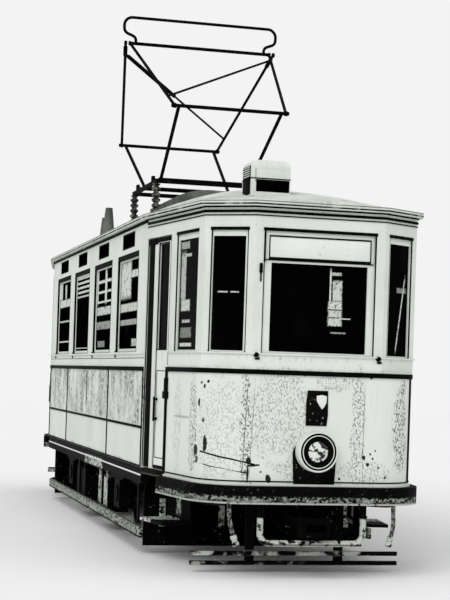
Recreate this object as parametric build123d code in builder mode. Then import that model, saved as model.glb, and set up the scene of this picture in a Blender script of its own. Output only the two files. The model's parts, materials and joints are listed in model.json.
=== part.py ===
import os
from math import atan2, cos, hypot, radians, sin, tan

from build123d import *

os.makedirs("parts", exist_ok=True)

# Axes: +X forwards, +Y to the car's left when looking forwards, +Z up from the bottom of the wheel flanges

# Plan of the body
body_width = 2100
saloon_length = 5600
platform_length = 1450
wall = 45
middle_facet = 1040
facet_back = 218
facet_half = 859
dash_corner = 360
front = saloon_length / 2 + platform_length
corner_pillar = saloon_length / 2
side_y = body_width / 2
middle_half = middle_facet / 2
taper = atan2(side_y - facet_half, platform_length - facet_back)

# Wheels, axleboxes and springs
wheelbase = 2800
wheel_radius = 380
flange_height = 28
flange_inner = 680
wheel_width = 95
journal_radius = 55
journal_clearance = 0.05
axlebox_inner = 850
axlebox_outer = 985
axlebox_half = 125
axlebox_rise = 120
# half length and thickness of each leaf, from the axlebox upwards
spring_leaves = ((130, 16), (230, 16), (330, 18), (420, 22))
axle_x = wheelbase / 2
axle_z = wheel_radius + flange_height
spring_stack = sum(thick for half, thick in spring_leaves)

# Heights, each reckoned from the one below
sole_depth = 140
dash_drop = 50
saloon_step = 120
floor_thick = 40
belt_height = 840
belt_depth = 130
window_height = 880
header_rise = 65
letterboard = 230
roof_rise = 340
sole_low = axle_z + axlebox_rise + spring_stack
sole_high = sole_low + sole_depth
platform_top = sole_high
dash_low = platform_top - dash_drop
saloon_top = platform_top + saloon_step
belt_low = platform_top + belt_height
sill = belt_low + belt_depth
side_head = sill + window_height
end_head = side_head + header_rise
eaves = side_head + letterboard
crown = eaves + roof_rise

# Underframe
sole_thick = 75
sole_inset = 5
cross_half = 40
cross_depth = 80
cross_margin = 80
cross_behind = 500
cross_between = 920
beam_inner = 330
beam_outer = 400
beam_stop = 70
cross_places = (corner_pillar - cross_margin, axle_x + cross_behind, axle_x - cross_between)

# Side windows, four a side, each with a ventilator light above
window_count = 4
window_width = 1000
window_pitch = 1290
glass_thick = 8
glass_inset = 26
vent_width = 580
vent_margin = 45
vent_depth = 20

# Tapered platform side, measured back from the facet corner
pane_front = 120
pane_back = 576
door_front = 700
door_meet = 1023
door_back = hypot(side_y - facet_half, platform_length - facet_back)
door_gap = 12
meet_gap = 10
door_inset = 12
leaf_thick = 36
pillar_gap = 20
pivot_inset = 12
pivot_radius = 8
pivot_clearance = 0.05

# Facet beside the middle window, measured out from the middle facet's corner
facet_length = hypot(facet_back, facet_half - middle_half)
facet_post = 52
middle_post = 70

# Pantograph, seen from the side
panto_base_x = 390
panto_lift = 310
panto_knee_x = 1350
panto_lower_rise = 582
panto_upper_rise = 845
panto_base_half = 477
panto_knee_half = 526
panto_top_half = 740
panto_rear_out = 45
panto_tube = 17
pin_radius = 11
pin_clearance = 0.05
arm_trim = 0.011
panto_base_z = crown + panto_lift
panto_knee_z = panto_base_z + panto_lower_rise
panto_top_z = panto_knee_z + panto_upper_rise

ends = (1, -1)
sides = (-1, 1)
corners = (("front_left", 1, 1), ("front_right", 1, -1), ("rear_left", -1, 1), ("rear_right", -1, -1))


def tapered(s, depth, end, side):
    """Plan point s back along the tapered platform side and depth inwards from its face."""
    x = front - facet_back - s * cos(taper) - depth * sin(taper)
    y = facet_half + s * sin(taper) - depth * cos(taper)
    return end * x, side * y


def faceted(s, depth, end, side):
    """Plan point s out along the facet beside the middle window and depth inwards from its face."""
    out_x, out_y = facet_back / facet_length, (facet_half - middle_half) / facet_length
    x = front - s * out_x - depth * out_y
    y = middle_half + s * out_y - depth * out_x
    return end * x, side * y


def body_plan(grow):
    """Faceted outline of the whole body, grown outwards."""
    quarter = [(front, middle_half), (front - facet_back, facet_half), (corner_pillar, side_y)]
    half = quarter + [(-x, y) for x, y in reversed(quarter)]
    with BuildSketch() as shape:
        with BuildLine():
            Polyline(*half, *[(x, -y) for x, y in reversed(half)], close=True)
        make_face()
        if grow:
            offset(amount=grow, kind=Kind.INTERSECTION)
    return shape.sketch


def upright(points, low, high, mode=Mode.ADD):
    """Upright slab on a closed plan outline."""
    with BuildSketch(Plane.XY.offset(low)) as outline:
        with BuildLine():
            Polyline(*points, close=True)
        make_face()
    extrude(outline.sketch, amount=high - low, mode=mode)


def block(x, y, z, mode=Mode.ADD):
    """Box between pairs of limits."""
    upright([(x[0], y[0]), (x[1], y[0]), (x[1], y[1]), (x[0], y[1])], z[0], z[1], mode)


def tube(start, finish, radius, mode=Mode.ADD):
    """Round bar between two points."""
    way = Vector(*finish) - Vector(*start)
    with BuildSketch(Plane(origin=start, z_dir=way)) as ring:
        Circle(radius)
    extrude(ring.sketch, amount=way.length, mode=mode)


def dash_plan(grow, end):
    """Closed outline of the rounded dash, grown outwards, up to the front door posts."""
    hold_x = front - dash_corner
    hold_y = middle_half
    radius = dash_corner + grow
    start = tapered(door_front, -grow, 1, 1)
    meet = (hold_x + radius * sin(taper), hold_y + radius * cos(taper))
    mid = (hold_x + radius * sin(radians(50)), hold_y + radius * cos(radians(50)))
    nose = (front + grow, hold_y)
    with BuildSketch() as shape:
        with BuildLine():
            Line(start, meet)
            ThreePointArc(meet, mid, nose)
            Line(nose, (nose[0], -nose[1]))
            ThreePointArc((nose[0], -nose[1]), (mid[0], -mid[1]), (meet[0], -meet[1]))
            Line((meet[0], -meet[1]), (start[0], -start[1]))
            Line((start[0], -start[1]), start)
        make_face()
    return shape.sketch if end > 0 else shape.sketch.mirror(Plane.YZ)


# Sole bars, and the cross members and beams that carry floor and platforms
with BuildPart() as sole_bars:
    for side in sides:
        bar_y = sorted((side * (side_y - sole_thick), side * (side_y - sole_inset)))
        block((-corner_pillar, corner_pillar), bar_y, (sole_low, sole_high))
sole_bars.part.label = "sole_bars"
export_step(sole_bars.part, "parts/sole_bars.step")

with BuildPart() as cross_members:
    reach = side_y - sole_thick
    for end in ends:
        for x in cross_places:
            cross_x = (end * x - cross_half, end * x + cross_half)
            block(cross_x, (-reach, reach), (sole_high - cross_depth, sole_high))
        for side in sides:
            beam_x = sorted((end * (cross_places[0] + cross_half), end * (front - beam_stop)))
            block(beam_x, sorted((side * beam_inner, side * beam_outer)), (sole_low, dash_low))
cross_members.part.label = "cross_members"
export_step(cross_members.part, "parts/cross_members.step")

# Floors
floor_inset = 5
with BuildPart() as floors:
    inner_half = side_y - wall
    block((-corner_pillar, corner_pillar), (-inner_half, inner_half), (saloon_top - floor_thick, saloon_top))
    for end in ends:
        with BuildSketch(Plane.XY.offset(dash_low)) as plate:
            add(dash_plan(-wall, end))
        extrude(plate.sketch, amount=platform_top - dash_low)
        well = [(corner_pillar, floor_inset + 1 - side_y), tapered(door_front, floor_inset, 1, -1)]
        well = well + [tapered(door_front, floor_inset, 1, 1), (corner_pillar, side_y - floor_inset - 1)]
        upright([(end * x, y) for x, y in well], dash_low, platform_top)
floors.part.label = "floors"
export_step(floors.part, "parts/floors.step")

# Side walls: panels below the windows, pillars between them, letterboard with ventilator lights above
with BuildPart() as side_panels:
    for side in sides:
        wall_y = sorted((side * (side_y - wall), side * side_y))
        block((-corner_pillar, corner_pillar), wall_y, (sole_high, sill))
side_panels.part.label = "side_panels"
export_step(side_panels.part, "parts/side_panels.step")

window_x = [(i - (window_count - 1) / 2) * window_pitch for i in range(window_count)]
pillar_edges = [-corner_pillar]
for x in window_x:
    pillar_edges = pillar_edges + [x - window_width / 2, x + window_width / 2]
pillar_edges = pillar_edges + [corner_pillar]
with BuildPart() as side_pillars:
    for side in sides:
        wall_y = sorted((side * (side_y - wall), side * side_y))
        for low, high in zip(pillar_edges[0::2], pillar_edges[1::2]):
            block((low, high), wall_y, (sill, side_head))
side_pillars.part.label = "side_pillars"
export_step(side_pillars.part, "parts/side_pillars.step")

with BuildPart() as letterboards:
    for side in sides:
        wall_y = sorted((side * (side_y - wall), side * side_y))
        block((-corner_pillar, corner_pillar), wall_y, (side_head, eaves))
        for x in window_x:
            vent_x = (x - vent_width / 2, x + vent_width / 2)
            vent_y = sorted((side * (side_y + 1), side * (side_y - vent_depth)))
            block(vent_x, vent_y, (side_head + vent_margin, eaves - vent_margin), Mode.SUBTRACT)
letterboards.part.label = "letterboards"
export_step(letterboards.part, "parts/letterboards.step")

# End walls: rounded dash, faceted belt rail, posts and header
dash_stop = tapered(door_front, 0, 1, 1)[0]
with BuildPart() as dashes:
    for end in ends:
        with BuildSketch(Plane.XY.offset(dash_low)) as ring:
            add(dash_plan(0, end))
            add(dash_plan(-wall, end), mode=Mode.SUBTRACT)
            with Locations((end * (dash_stop + front) / 2, 0)):
                Rectangle(front - dash_stop, body_width, mode=Mode.INTERSECT)
        extrude(ring.sketch, amount=belt_low - dash_low)
dashes.part.label = "dashes"
export_step(dashes.part, "parts/dashes.step")


def end_ring(end, low, high, reach):
    """Faceted ring of one end, from the front back to a distance along the tapered sides."""
    with BuildSketch(Plane.XY.offset(low)) as ring:
        add(body_plan(0))
        add(body_plan(-wall), mode=Mode.SUBTRACT)
        stop = tapered(reach, 0, 1, 1)[0]
        with Locations((end * (stop + front) / 2, 0)):
            Rectangle(front - stop, body_width, mode=Mode.INTERSECT)
    extrude(ring.sketch, amount=high - low)


with BuildPart() as belt_rails:
    for end in ends:
        end_ring(end, belt_low, sill, door_front)
belt_rails.part.label = "belt_rails"
export_step(belt_rails.part, "parts/belt_rails.step")

with BuildPart() as end_headers:
    for end in ends:
        end_ring(end, end_head, eaves, door_back)
end_headers.part.label = "end_headers"
export_step(end_headers.part, "parts/end_headers.step")

with BuildPart() as end_posts:
    for end in ends:
        for side in sides:
            nose_y = middle_half - middle_post
            inner_x = end * (front - wall)
            mullion = [(end * front, side * nose_y), (end * front, side * middle_half)]
            mullion = mullion + [faceted(facet_post, 0, end, side), faceted(facet_post, wall, end, side)]
            mullion = mullion + [(inner_x, side * nose_y)]
            upright(mullion, sill, end_head)
            bend = [faceted(facet_length - facet_post, 0, end, side), tapered(0, 0, end, side)]
            bend = bend + [tapered(pane_front, 0, end, side), tapered(pane_front, wall, end, side)]
            bend = bend + [faceted(facet_length - facet_post, wall, end, side)]
            upright(bend, sill, end_head)
            jamb = [tapered(pane_back, 0, end, side), tapered(door_front, 0, end, side)]
            jamb = jamb + [tapered(door_front, wall, end, side), tapered(pane_back, wall, end, side)]
            upright(jamb, sill, end_head)
end_posts.part.label = "end_posts"
export_step(end_posts.part, "parts/end_posts.step")

# Bulkheads between saloon and platforms, with an open doorway and glazed sides
doorway_half = 330
doorway_lintel = 120
bulkhead_thick = 40
pane_from_doorway = 120
pane_from_side = 170
bulkhead_pane = (doorway_half + pane_from_doorway, side_y - pane_from_side)
with BuildPart() as bulkheads:
    for end in ends:
        slab_x = sorted((end * (corner_pillar - bulkhead_thick), end * corner_pillar))
        for side in sides:
            slab_y = sorted((side * doorway_half, side * (side_y - wall)))
            block(slab_x, slab_y, (saloon_top, eaves))
            pane_y = sorted((side * bulkhead_pane[0], side * bulkhead_pane[1]))
            block(slab_x, pane_y, (sill, side_head), Mode.SUBTRACT)
        block(slab_x, (-doorway_half, doorway_half), (eaves - doorway_lintel, eaves))
bulkheads.part.label = "bulkheads"
export_step(bulkheads.part, "parts/bulkheads.step")

# Fixed glass of the sides, ends and bulkheads
with BuildPart() as window_glass:
    near, far = glass_inset, glass_inset + glass_thick
    for side in sides:
        for x in window_x:
            pane_x = (x - window_width / 2, x + window_width / 2)
            block(pane_x, sorted((side * (side_y - near), side * (side_y - far))), (sill, side_head))
    for end in ends:
        nose_y = middle_half - middle_post
        block(sorted((end * (front - near), end * (front - far))), (-nose_y, nose_y), (sill, end_head))
        pane_x = corner_pillar - bulkhead_thick / 2
        slab_x = sorted((end * (pane_x - glass_thick / 2), end * (pane_x + glass_thick / 2)))
        for side in sides:
            edges = (facet_post, facet_length - facet_post)
            pane = [faceted(s, near, end, side) for s in edges]
            upright(pane + [faceted(s, far, end, side) for s in reversed(edges)], sill, end_head)
            edges = (pane_front, pane_back)
            pane = [tapered(s, near, end, side) for s in edges]
            upright(pane + [tapered(s, far, end, side) for s in reversed(edges)], sill, end_head)
            block(slab_x, sorted((side * bulkhead_pane[0], side * bulkhead_pane[1])), (sill, side_head))
window_glass.part.label = "window_glass"
export_step(window_glass.part, "parts/window_glass.step")

# Sashes: a frame in every opening, seated on the glass, with rounded inner corners
sash_out = 9
sash_corner = 24
sign_rail = 62
sign_half = 400
sign_height = 154
sign_corner = 6
# stile, bottom rail and top rail of each kind of sash
side_sash = (45, 32, 60)
facet_sash = (20, 14, sign_rail)
taper_sash = (26, 14, sign_rail)
screen_sash = (65, 17, 257)


def along_side(s, depth, end, side):
    """Plan point s along the straight side and depth inwards from its face."""
    return s, side * (side_y - depth)


def along_nose(s, depth, end, side):
    """Plan point s across the middle facet and depth inwards from its face."""
    return end * (front - depth), s


def wall_cut(place, edges, heights, corner, end, side):
    """Rounded opening through a sash, square to its wall."""
    first, last = (Vector(*place(s, glass_inset, end, side), 0) for s in edges)
    way = last - first
    middle = (first + last) / 2 + Vector(0, 0, sum(heights) / 2)
    with BuildSketch(Plane(origin=middle, x_dir=way, z_dir=way.cross(Vector(0, 0, 1)))) as opening:
        RectangleRounded(way.length, heights[1] - heights[0], corner)
    extrude(opening.sketch, amount=2 * glass_inset, both=True, mode=Mode.SUBTRACT)


def sash(place, edges, heights, timber, end, side):
    """Frame between two places along a wall and two heights."""
    stile, bottom, top = timber
    outline = [place(s, sash_out, end, side) for s in edges]
    outline = outline + [place(s, glass_inset, end, side) for s in reversed(edges)]
    upright(outline, *heights)
    inner = (edges[0] + stile, edges[1] - stile)
    wall_cut(place, inner, (heights[0] + bottom, heights[1] - top), sash_corner, end, side)


with BuildPart() as window_sashes:
    for side in sides:
        for x in window_x:
            edges = (x - window_width / 2, x + window_width / 2)
            sash(along_side, edges, (sill, side_head), side_sash, 1, side)
    for end in ends:
        heights = (sill, end_head)
        sash(along_nose, (middle_post - middle_half, middle_half - middle_post), heights, screen_sash, end, 1)
        sign_z = (end_head - sign_rail - sign_height, end_head - sign_rail)
        wall_cut(along_nose, (-sign_half, sign_half), sign_z, sign_corner, end, 1)
        for side in sides:
            sash(faceted, (facet_post, facet_length - facet_post), heights, facet_sash, end, side)
            sash(tapered, (pane_front, pane_back), heights, taper_sash, end, side)
window_sashes.part.label = "window_sashes"
export_step(window_sashes.part, "parts/window_sashes.step")

# Mouldings: sill rails, drips, waist bead and battens of the sides, beads round the ends
batten_half = 8
batten_proud = 6
batten_low = 5
# window pitches from the middle, and how far each batten stands behind that pillar's middle
batten_shifts = ((-1, 140), (0, 130), (1, 160))
batten_places = [pitches * window_pitch - shift for pitches, shift in batten_shifts]
batten_places = [batten_half - corner_pillar] + batten_places + [corner_pillar - batten_half]
waist_drop = 499
gutter_drop = 8
# top of each rail of the sides, its depth and how far it stands proud
side_rails = ((sill, 18, 16), (belt_low, 18, 10), (belt_low - waist_drop, 11, 7), (eaves - gutter_drop, 16, 12))
end_bead = 30
end_bead_proud = 8
fascia_drop = 32
fascia_bead = 16
with BuildPart() as body_mouldings:
    for side in sides:
        for top, depth, proud in side_rails:
            rail_y = sorted((side * side_y, side * (side_y + proud)))
            block((-corner_pillar, corner_pillar), rail_y, (top - depth, top))
        batten_y = sorted((side * side_y, side * (side_y + batten_proud)))
        for x in batten_places:
            block((x - batten_half, x + batten_half), batten_y, (sole_high + batten_low, belt_low - 1))
    for end in ends:
        with BuildSketch(Plane.XY.offset(belt_low - end_bead)) as dash_bead:
            add(dash_plan(end_bead_proud, end))
            add(dash_plan(0, end), mode=Mode.SUBTRACT)
        extrude(dash_bead.sketch, amount=end_bead)
        with BuildSketch(Plane.XY.offset(eaves - fascia_drop - fascia_bead)) as fascia:
            add(body_plan(batten_proud))
            add(body_plan(0), mode=Mode.SUBTRACT)
            middle = (end * (corner_pillar + front) / 2, 0)
            with Locations(middle):
                Rectangle(front - corner_pillar + 2 * batten_proud, body_width + 100, mode=Mode.INTERSECT)
        extrude(fascia.sketch, amount=fascia_bead)
body_mouldings.part.label = "body_mouldings"
export_step(body_mouldings.part, "parts/body_mouldings.step")

# Roof: an arched shell that falls towards both ends, on a cornice
roof_thick = 35
ceiling_boards = 6
overhang = 45
cornice_height = 40
dome_length = 2100
dome_middle = 1300
dome_fall = 560
nose_rise = 65
middle_fall = 45
dome_drop = 155
dome_inset = 40
brow_drop = 222
brow_out = 10
nose_out = 80
# distance from the middle, half width, crown height
roof_sections = (
    (front - dome_length, side_y + overhang, crown),
    (front - dome_middle, side_y + overhang, crown - middle_fall),
    (front - dome_fall, side_y - dome_inset, crown - dome_drop),
    (front - facet_back, facet_half + overhang + brow_out, crown - brow_drop),
    (front + overhang, middle_half + nose_out, eaves + nose_rise),
)


def roof_body(inset, boards=0):
    """Arched body of the roof moved inwards by inset, its arch laid in flat boards where a count is given."""
    rings = []
    for x, half, top in roof_sections:
        rings.append((x - inset if x > front else x, half - inset, top - inset))
    for end in ends:
        profiles = []
        for x, half, top in [(0, rings[0][1], rings[0][2])] + rings:
            place = Plane(origin=(end * x, 0, 0), x_dir=(0, 1, 0), z_dir=(1, 0, 0))
            with BuildSketch(place) as profile:
                with BuildLine():
                    arch = ThreePointArc((-half, eaves), (0, top), (half, eaves), mode=Mode.PRIVATE)
                    if boards:
                        Polyline(*[arch @ (i / boards) for i in range(boards + 1)])
                    else:
                        add(arch)
                    Line((half, eaves), (-half, eaves))
                make_face()
            profiles.append(profile.sketch)
        for rear, fore in zip(profiles, profiles[1:]):
            loft([rear, fore], ruled=True)


with BuildPart(mode=Mode.PRIVATE) as roof_space:
    roof_body(roof_thick, ceiling_boards)

with BuildPart(mode=Mode.PRIVATE) as roof_outside:
    roof_body(0)

with BuildPart() as roof:
    add(roof_outside.part)
    add(roof_space.part, mode=Mode.SUBTRACT)
    extrude(Plane.XY.offset(eaves) * body_plan(overhang), amount=crown, mode=Mode.INTERSECT)
    with BuildSketch(Plane.XY.offset(eaves)) as cornice:
        add(body_plan(overhang))
        add(body_plan(-wall), mode=Mode.SUBTRACT)
    extrude(cornice.sketch, amount=cornice_height)
roof.part.label = "roof"
export_step(roof.part, "parts/roof.step")

# Raised deck under the pantograph, and resting pots beside it
deck_length = 1400
deck_half = 330
deck_side = 130
deck_rise = 200
pot_root = 50
# place, foot radius and height over the crown of each pot on the roof
roof_pots = ((0, -900, 70, 40), (-420, -880, 45, -20), (420, 880, 70, 40))
with BuildPart() as roof_fittings:
    with BuildSketch(Plane(origin=(-deck_length / 2, 0, 0), x_dir=(0, 1, 0), z_dir=(1, 0, 0))) as profile:
        with BuildLine():
            left = (-deck_half, crown + deck_side)
            right = (deck_half, crown + deck_side)
            ThreePointArc(left, (0, crown + deck_rise), right)
            Polyline(right, (deck_half, eaves), (-deck_half, eaves), left)
        make_face()
    extrude(profile.sketch, amount=deck_length)
    for x, y, radius, over in roof_pots:
        with BuildSketch(Plane.XY.offset(eaves + pot_root)) as foot:
            with Locations((x, y)):
                Circle(radius)
        extrude(foot.sketch, amount=crown + over - eaves - pot_root, taper=6)
    add(roof_outside.part, mode=Mode.SUBTRACT)
roof_fittings.part.label = "roof_fittings"
export_step(roof_fittings.part, "parts/roof_fittings.step")

# Sign boxes at the ends of the roof
sign_back = 350
sign_depth = 270
sign_y = (155, 472)
sign_root = 115
sign_over = 65
sign_round = 60
sign_border = 32
sign_recess = 15
sign_band = (crown - 115, crown - 10)
with BuildPart() as sign_boxes:
    for end in ends:
        box_x = sorted((end * (front - sign_back), end * (front - sign_back - sign_depth)))
        block(box_x, sorted((-end * sign_y[0], -end * sign_y[1])), (eaves + sign_root, crown + sign_over))
    fillet(sign_boxes.edges().filter_by(GeomType.LINE).group_by(Axis.Z)[-1], radius=sign_round)
    for end in ends:
        face_x = end * (front - sign_back)
        band_x = sorted((face_x + end, face_x - end * sign_recess))
        band_y = sorted((-end * (sign_y[0] + sign_border), -end * (sign_y[1] - sign_border)))
        block(band_x, band_y, sign_band, Mode.SUBTRACT)
    add(roof_outside.part, mode=Mode.SUBTRACT)
sign_boxes.part.label = "sign_boxes"
export_step(sign_boxes.part, "parts/sign_boxes.step")

# Lamps and blank destination boards
lamp_rise = 288
lamp_radius = 156
lamp_taper = 16
lamp_rim = 34
lamp_depth = 110
bowl_depth = 60
lens_inset = 2
lens_thick = 10
lamp_z = dash_low + lamp_rise
with BuildPart() as headlights:
    for end in ends:
        lamp_face = end * (front + lamp_depth)
        with BuildSketch(Plane(origin=(end * front, 0, lamp_z), z_dir=(end, 0, 0))) as back:
            Circle(lamp_radius - lamp_taper)
        with BuildSketch(Plane(origin=(lamp_face, 0, lamp_z), z_dir=(end, 0, 0))) as rim:
            Circle(lamp_radius)
        loft([back.sketch, rim.sketch])
        with BuildSketch(Plane(origin=(lamp_face, 0, lamp_z), z_dir=(-end, 0, 0))) as bowl:
            Circle(lamp_radius - lamp_rim)
        extrude(bowl.sketch, amount=bowl_depth, mode=Mode.SUBTRACT)
headlights.part.label = "headlights"
export_step(headlights.part, "parts/headlights.step")

with BuildPart() as lamp_lenses:
    for end in ends:
        lens_x = end * (front + lamp_depth - lens_inset)
        with BuildSketch(Plane(origin=(lens_x, 0, lamp_z), z_dir=(-end, 0, 0))) as pane:
            Circle(lamp_radius - lamp_rim)
        extrude(pane.sketch, amount=lens_thick)
lamp_lenses.part.label = "lamp_lenses"
export_step(lamp_lenses.part, "parts/lamp_lenses.step")

board_half = 430
board_thick = 12
board_drop = 220
board_lap = 25
with BuildPart() as destination_boards:
    for end in ends:
        board_x = sorted((end * (front - wall), end * (front - wall - board_thick)))
        block(board_x, (-board_half, board_half), (end_head - board_drop, end_head + board_lap))
destination_boards.part.label = "destination_boards"
export_step(destination_boards.part, "parts/destination_boards.step")

# Bumpers, couplers and guards under the ends
bumper_drop = 25
bumper_height = 133
bumper_depth = 70
bumper_low = sole_low - bumper_drop
with BuildPart() as bumpers:
    for end in ends:
        with BuildSketch(Plane.XY.offset(bumper_low)) as band:
            add(dash_plan(bumper_depth, end))
            add(dash_plan(0, end), mode=Mode.SUBTRACT)
            with Locations((end * (dash_stop + front + bumper_depth) / 2, 0)):
                reach = front + bumper_depth - dash_stop
                Rectangle(reach, body_width + 2 * bumper_depth, mode=Mode.INTERSECT)
        extrude(band.sketch, amount=bumper_height)
bumpers.part.label = "bumpers"
export_step(bumpers.part, "parts/bumpers.step")

coupler_drop = 200
coupler_bore = 20
drawbar_half = 45
drawbar_back = 620
hanger_thick = 60
hanger_depth = 40
jaw_back = -20
jaw_reach = 110
jaw_half = 110
jaw_rise = 75
mouth_back = 20
mouth_half = 80
mouth_rise = 30
pin_place = 65
coupler_z = sole_low - coupler_drop
with BuildPart() as couplers:
    for end in ends:
        bar_z = (coupler_z - drawbar_half, coupler_z + drawbar_half)
        bar_x = sorted((end * (front - drawbar_back), end * (front + jaw_back)))
        block(bar_x, (-drawbar_half, drawbar_half), bar_z)
        hanger_x = sorted((end * (front - drawbar_back), end * (front - drawbar_back + hanger_thick)))
        block(hanger_x, (-drawbar_half, drawbar_half), (coupler_z, sole_low - hanger_depth))
        block(hanger_x, (-beam_outer, beam_outer), (sole_low - hanger_depth, sole_low))
        jaw_x = sorted((end * (front + jaw_back), end * (front + jaw_reach)))
        block(jaw_x, (-jaw_half, jaw_half), (coupler_z - jaw_rise, coupler_z + jaw_rise))
        mouth_x = sorted((end * (front + mouth_back), end * (front + jaw_reach + 1)))
        mouth_z = (coupler_z - mouth_rise, coupler_z + mouth_rise)
        block(mouth_x, (-mouth_half, mouth_half), mouth_z, Mode.SUBTRACT)
        pin_x = end * (front + pin_place)
        pin = ((pin_x, 0, coupler_z - jaw_rise - 1), (pin_x, 0, coupler_z + jaw_rise + 1))
        tube(*pin, coupler_bore, Mode.SUBTRACT)
couplers.part.label = "couplers"
export_step(couplers.part, "parts/couplers.step")

# Guards bent from one tube, with a collar on each leg
guard_half = 410
guard_drop = 300
guard_tube = 24
guard_back = 5
guard_bend = 75
collar_drop = 85
collar_height = 16
collar_grow = 8
guard_z = bumper_low - guard_drop
with BuildPart() as guard_frames:
    for end in ends:
        guard_x = end * (front - guard_back)
        with BuildLine() as guard_line:
            feet = [(guard_x, -guard_half, guard_z), (guard_x, guard_half, guard_z)]
            heads = [(guard_x, -guard_half, bumper_low), (guard_x, guard_half, bumper_low)]
            FilletPolyline(heads[0], *feet, heads[1], radius=guard_bend)
        with BuildSketch(Plane(origin=heads[0], z_dir=(0, 0, -1))):
            Circle(guard_tube)
        sweep(path=guard_line.line)
        for side in sides:
            collar = (guard_x, side * guard_half, bumper_low - collar_drop)
            tube(collar, (*collar[:2], collar[2] - collar_height), guard_tube + collar_grow)
guard_frames.part.label = "guard_frames"
export_step(guard_frames.part, "parts/guard_frames.step")

slat_back = 400
slat_half = 850
slat_thick = 30
slat_depth = 32
slat_heights = (60, 135)
with BuildPart() as life_guards:
    for end in ends:
        slat_x = end * (front - slat_back)
        for low in slat_heights:
            slat_reach = sorted((slat_x, slat_x - end * slat_thick))
            block(slat_reach, (-slat_half, slat_half), (low, low + slat_depth))
        for side in sides:
            leg_x = sorted((slat_x - end * slat_thick, slat_x - end * 2 * slat_thick))
            leg_y = sorted((side * beam_inner, side * beam_outer))
            block(leg_x, leg_y, (slat_heights[0], sole_low))
life_guards.part.label = "life_guards"
export_step(life_guards.part, "parts/life_guards.step")

hose_radius = 17
hose_head = 26
hose_back = 8
head_rise = 24
head_drop = 60
# distance out from the hose's root, out from the middle line and height over the rail
hose_route = ((0, 655, bumper_low), (0, 655, 495), (34, 650, 405), (40, 620, 314))


def bend_radii(points):
    """Largest radius that the two runs at each corner of a route allow."""
    radii = []
    for before, corner, after in zip(points, points[1:], points[2:]):
        into, out = corner - before, after - corner
        half_turn = radians(into.get_angle(out)) / 2
        radii.append(0.45 * min(into.length, out.length) / tan(half_turn))
    return radii


with BuildPart() as brake_hoses:
    for end in ends:
        for side in sides:
            hose_x = end * (front - hose_back)
            route = [Vector(hose_x + end * out, side * y, z) for out, y, z in hose_route]
            with BuildLine() as hose_line:
                FilletPolyline(*route, radius=bend_radii(route))
            with BuildSketch(Plane(origin=route[0], z_dir=route[1] - route[0])):
                Circle(hose_radius)
            sweep(path=hose_line.line)
            way = (route[-1] - route[-2]).normalized()
            tube(tuple(route[-1] - way * head_rise), tuple(route[-1] + way * head_drop), hose_head)
print("hose bends, mm:", [round(radius) for radius in bend_radii(route)])
print("hose length, mm:", round(hose_line.wires()[0].length, 1))
brake_hoses.part.label = "brake_hoses"
export_step(brake_hoses.part, "parts/brake_hoses.step")

# Truck: side frames, axleboxes, springs, wheelsets, motors and brakes
frame_reach = 580
frame_y = (870, 905)
frame_gap = 2
frame_depth = 70
horn_width = 45
horn_drop = 120
frame_end = axle_x + frame_reach
frame_high = sole_low - frame_gap
frame_low = frame_high - frame_depth
with BuildPart() as truck_frames:
    for side in sides:
        plate_y = sorted((side * frame_y[0], side * frame_y[1]))
        block((-frame_end, frame_end), plate_y, (frame_low, frame_high))
        for end in ends:
            for edge in (-axlebox_half - horn_width, axlebox_half):
                horn_x = (end * axle_x + edge, end * axle_x + edge + horn_width)
                block(horn_x, plate_y, (axle_z - horn_drop, frame_low))
truck_frames.part.label = "truck_frames"
export_step(truck_frames.part, "parts/truck_frames.step")

beam_half = 35
beam_back = 840
with BuildPart() as truck_beams:
    for x in (-frame_end + beam_half, -axle_x + beam_back, axle_x - beam_back, frame_end - beam_half):
        block((x - beam_half, x + beam_half), (-frame_y[0], frame_y[0]), (frame_low - 10, frame_high))
truck_beams.part.label = "truck_beams"
export_step(truck_beams.part, "parts/truck_beams.step")

axlebox_drop = 130
spring_inner = 915
lid_radius = 75
lid_thick = 12
bore_wall = 20
with BuildPart() as axleboxes:
    for end in ends:
        for side in sides:
            box_x = (end * axle_x - axlebox_half, end * axle_x + axlebox_half)
            box_y = sorted((side * axlebox_inner, side * axlebox_outer))
            block(box_x, box_y, (axle_z - axlebox_drop, axle_z + axlebox_rise))
            lid = (end * axle_x, side * (axlebox_outer + lid_thick), axle_z)
            tube((end * axle_x, side * axlebox_outer, axle_z), lid, lid_radius)
            mouth = (end * axle_x, side * (axlebox_inner - 1), axle_z)
            bottom = (end * axle_x, side * (axlebox_outer - bore_wall), axle_z)
            tube(mouth, bottom, journal_radius + journal_clearance, Mode.SUBTRACT)
            leaf_z = axle_z + axlebox_rise
            leaf_y = sorted((side * spring_inner, side * axlebox_outer))
            for half, thick in spring_leaves:
                block((end * axle_x - half, end * axle_x + half), leaf_y, (leaf_z, leaf_z + thick))
                leaf_z = leaf_z + thick
axleboxes.part.label = "axleboxes"
export_step(axleboxes.part, "parts/axleboxes.step")

axle_radius = 70
hub_radius = 110
rim_depth = 65
web_inset = 35
tread_fall = 4
journal_end = axlebox_outer - 30
outer_face = flange_inner + wheel_width
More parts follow.
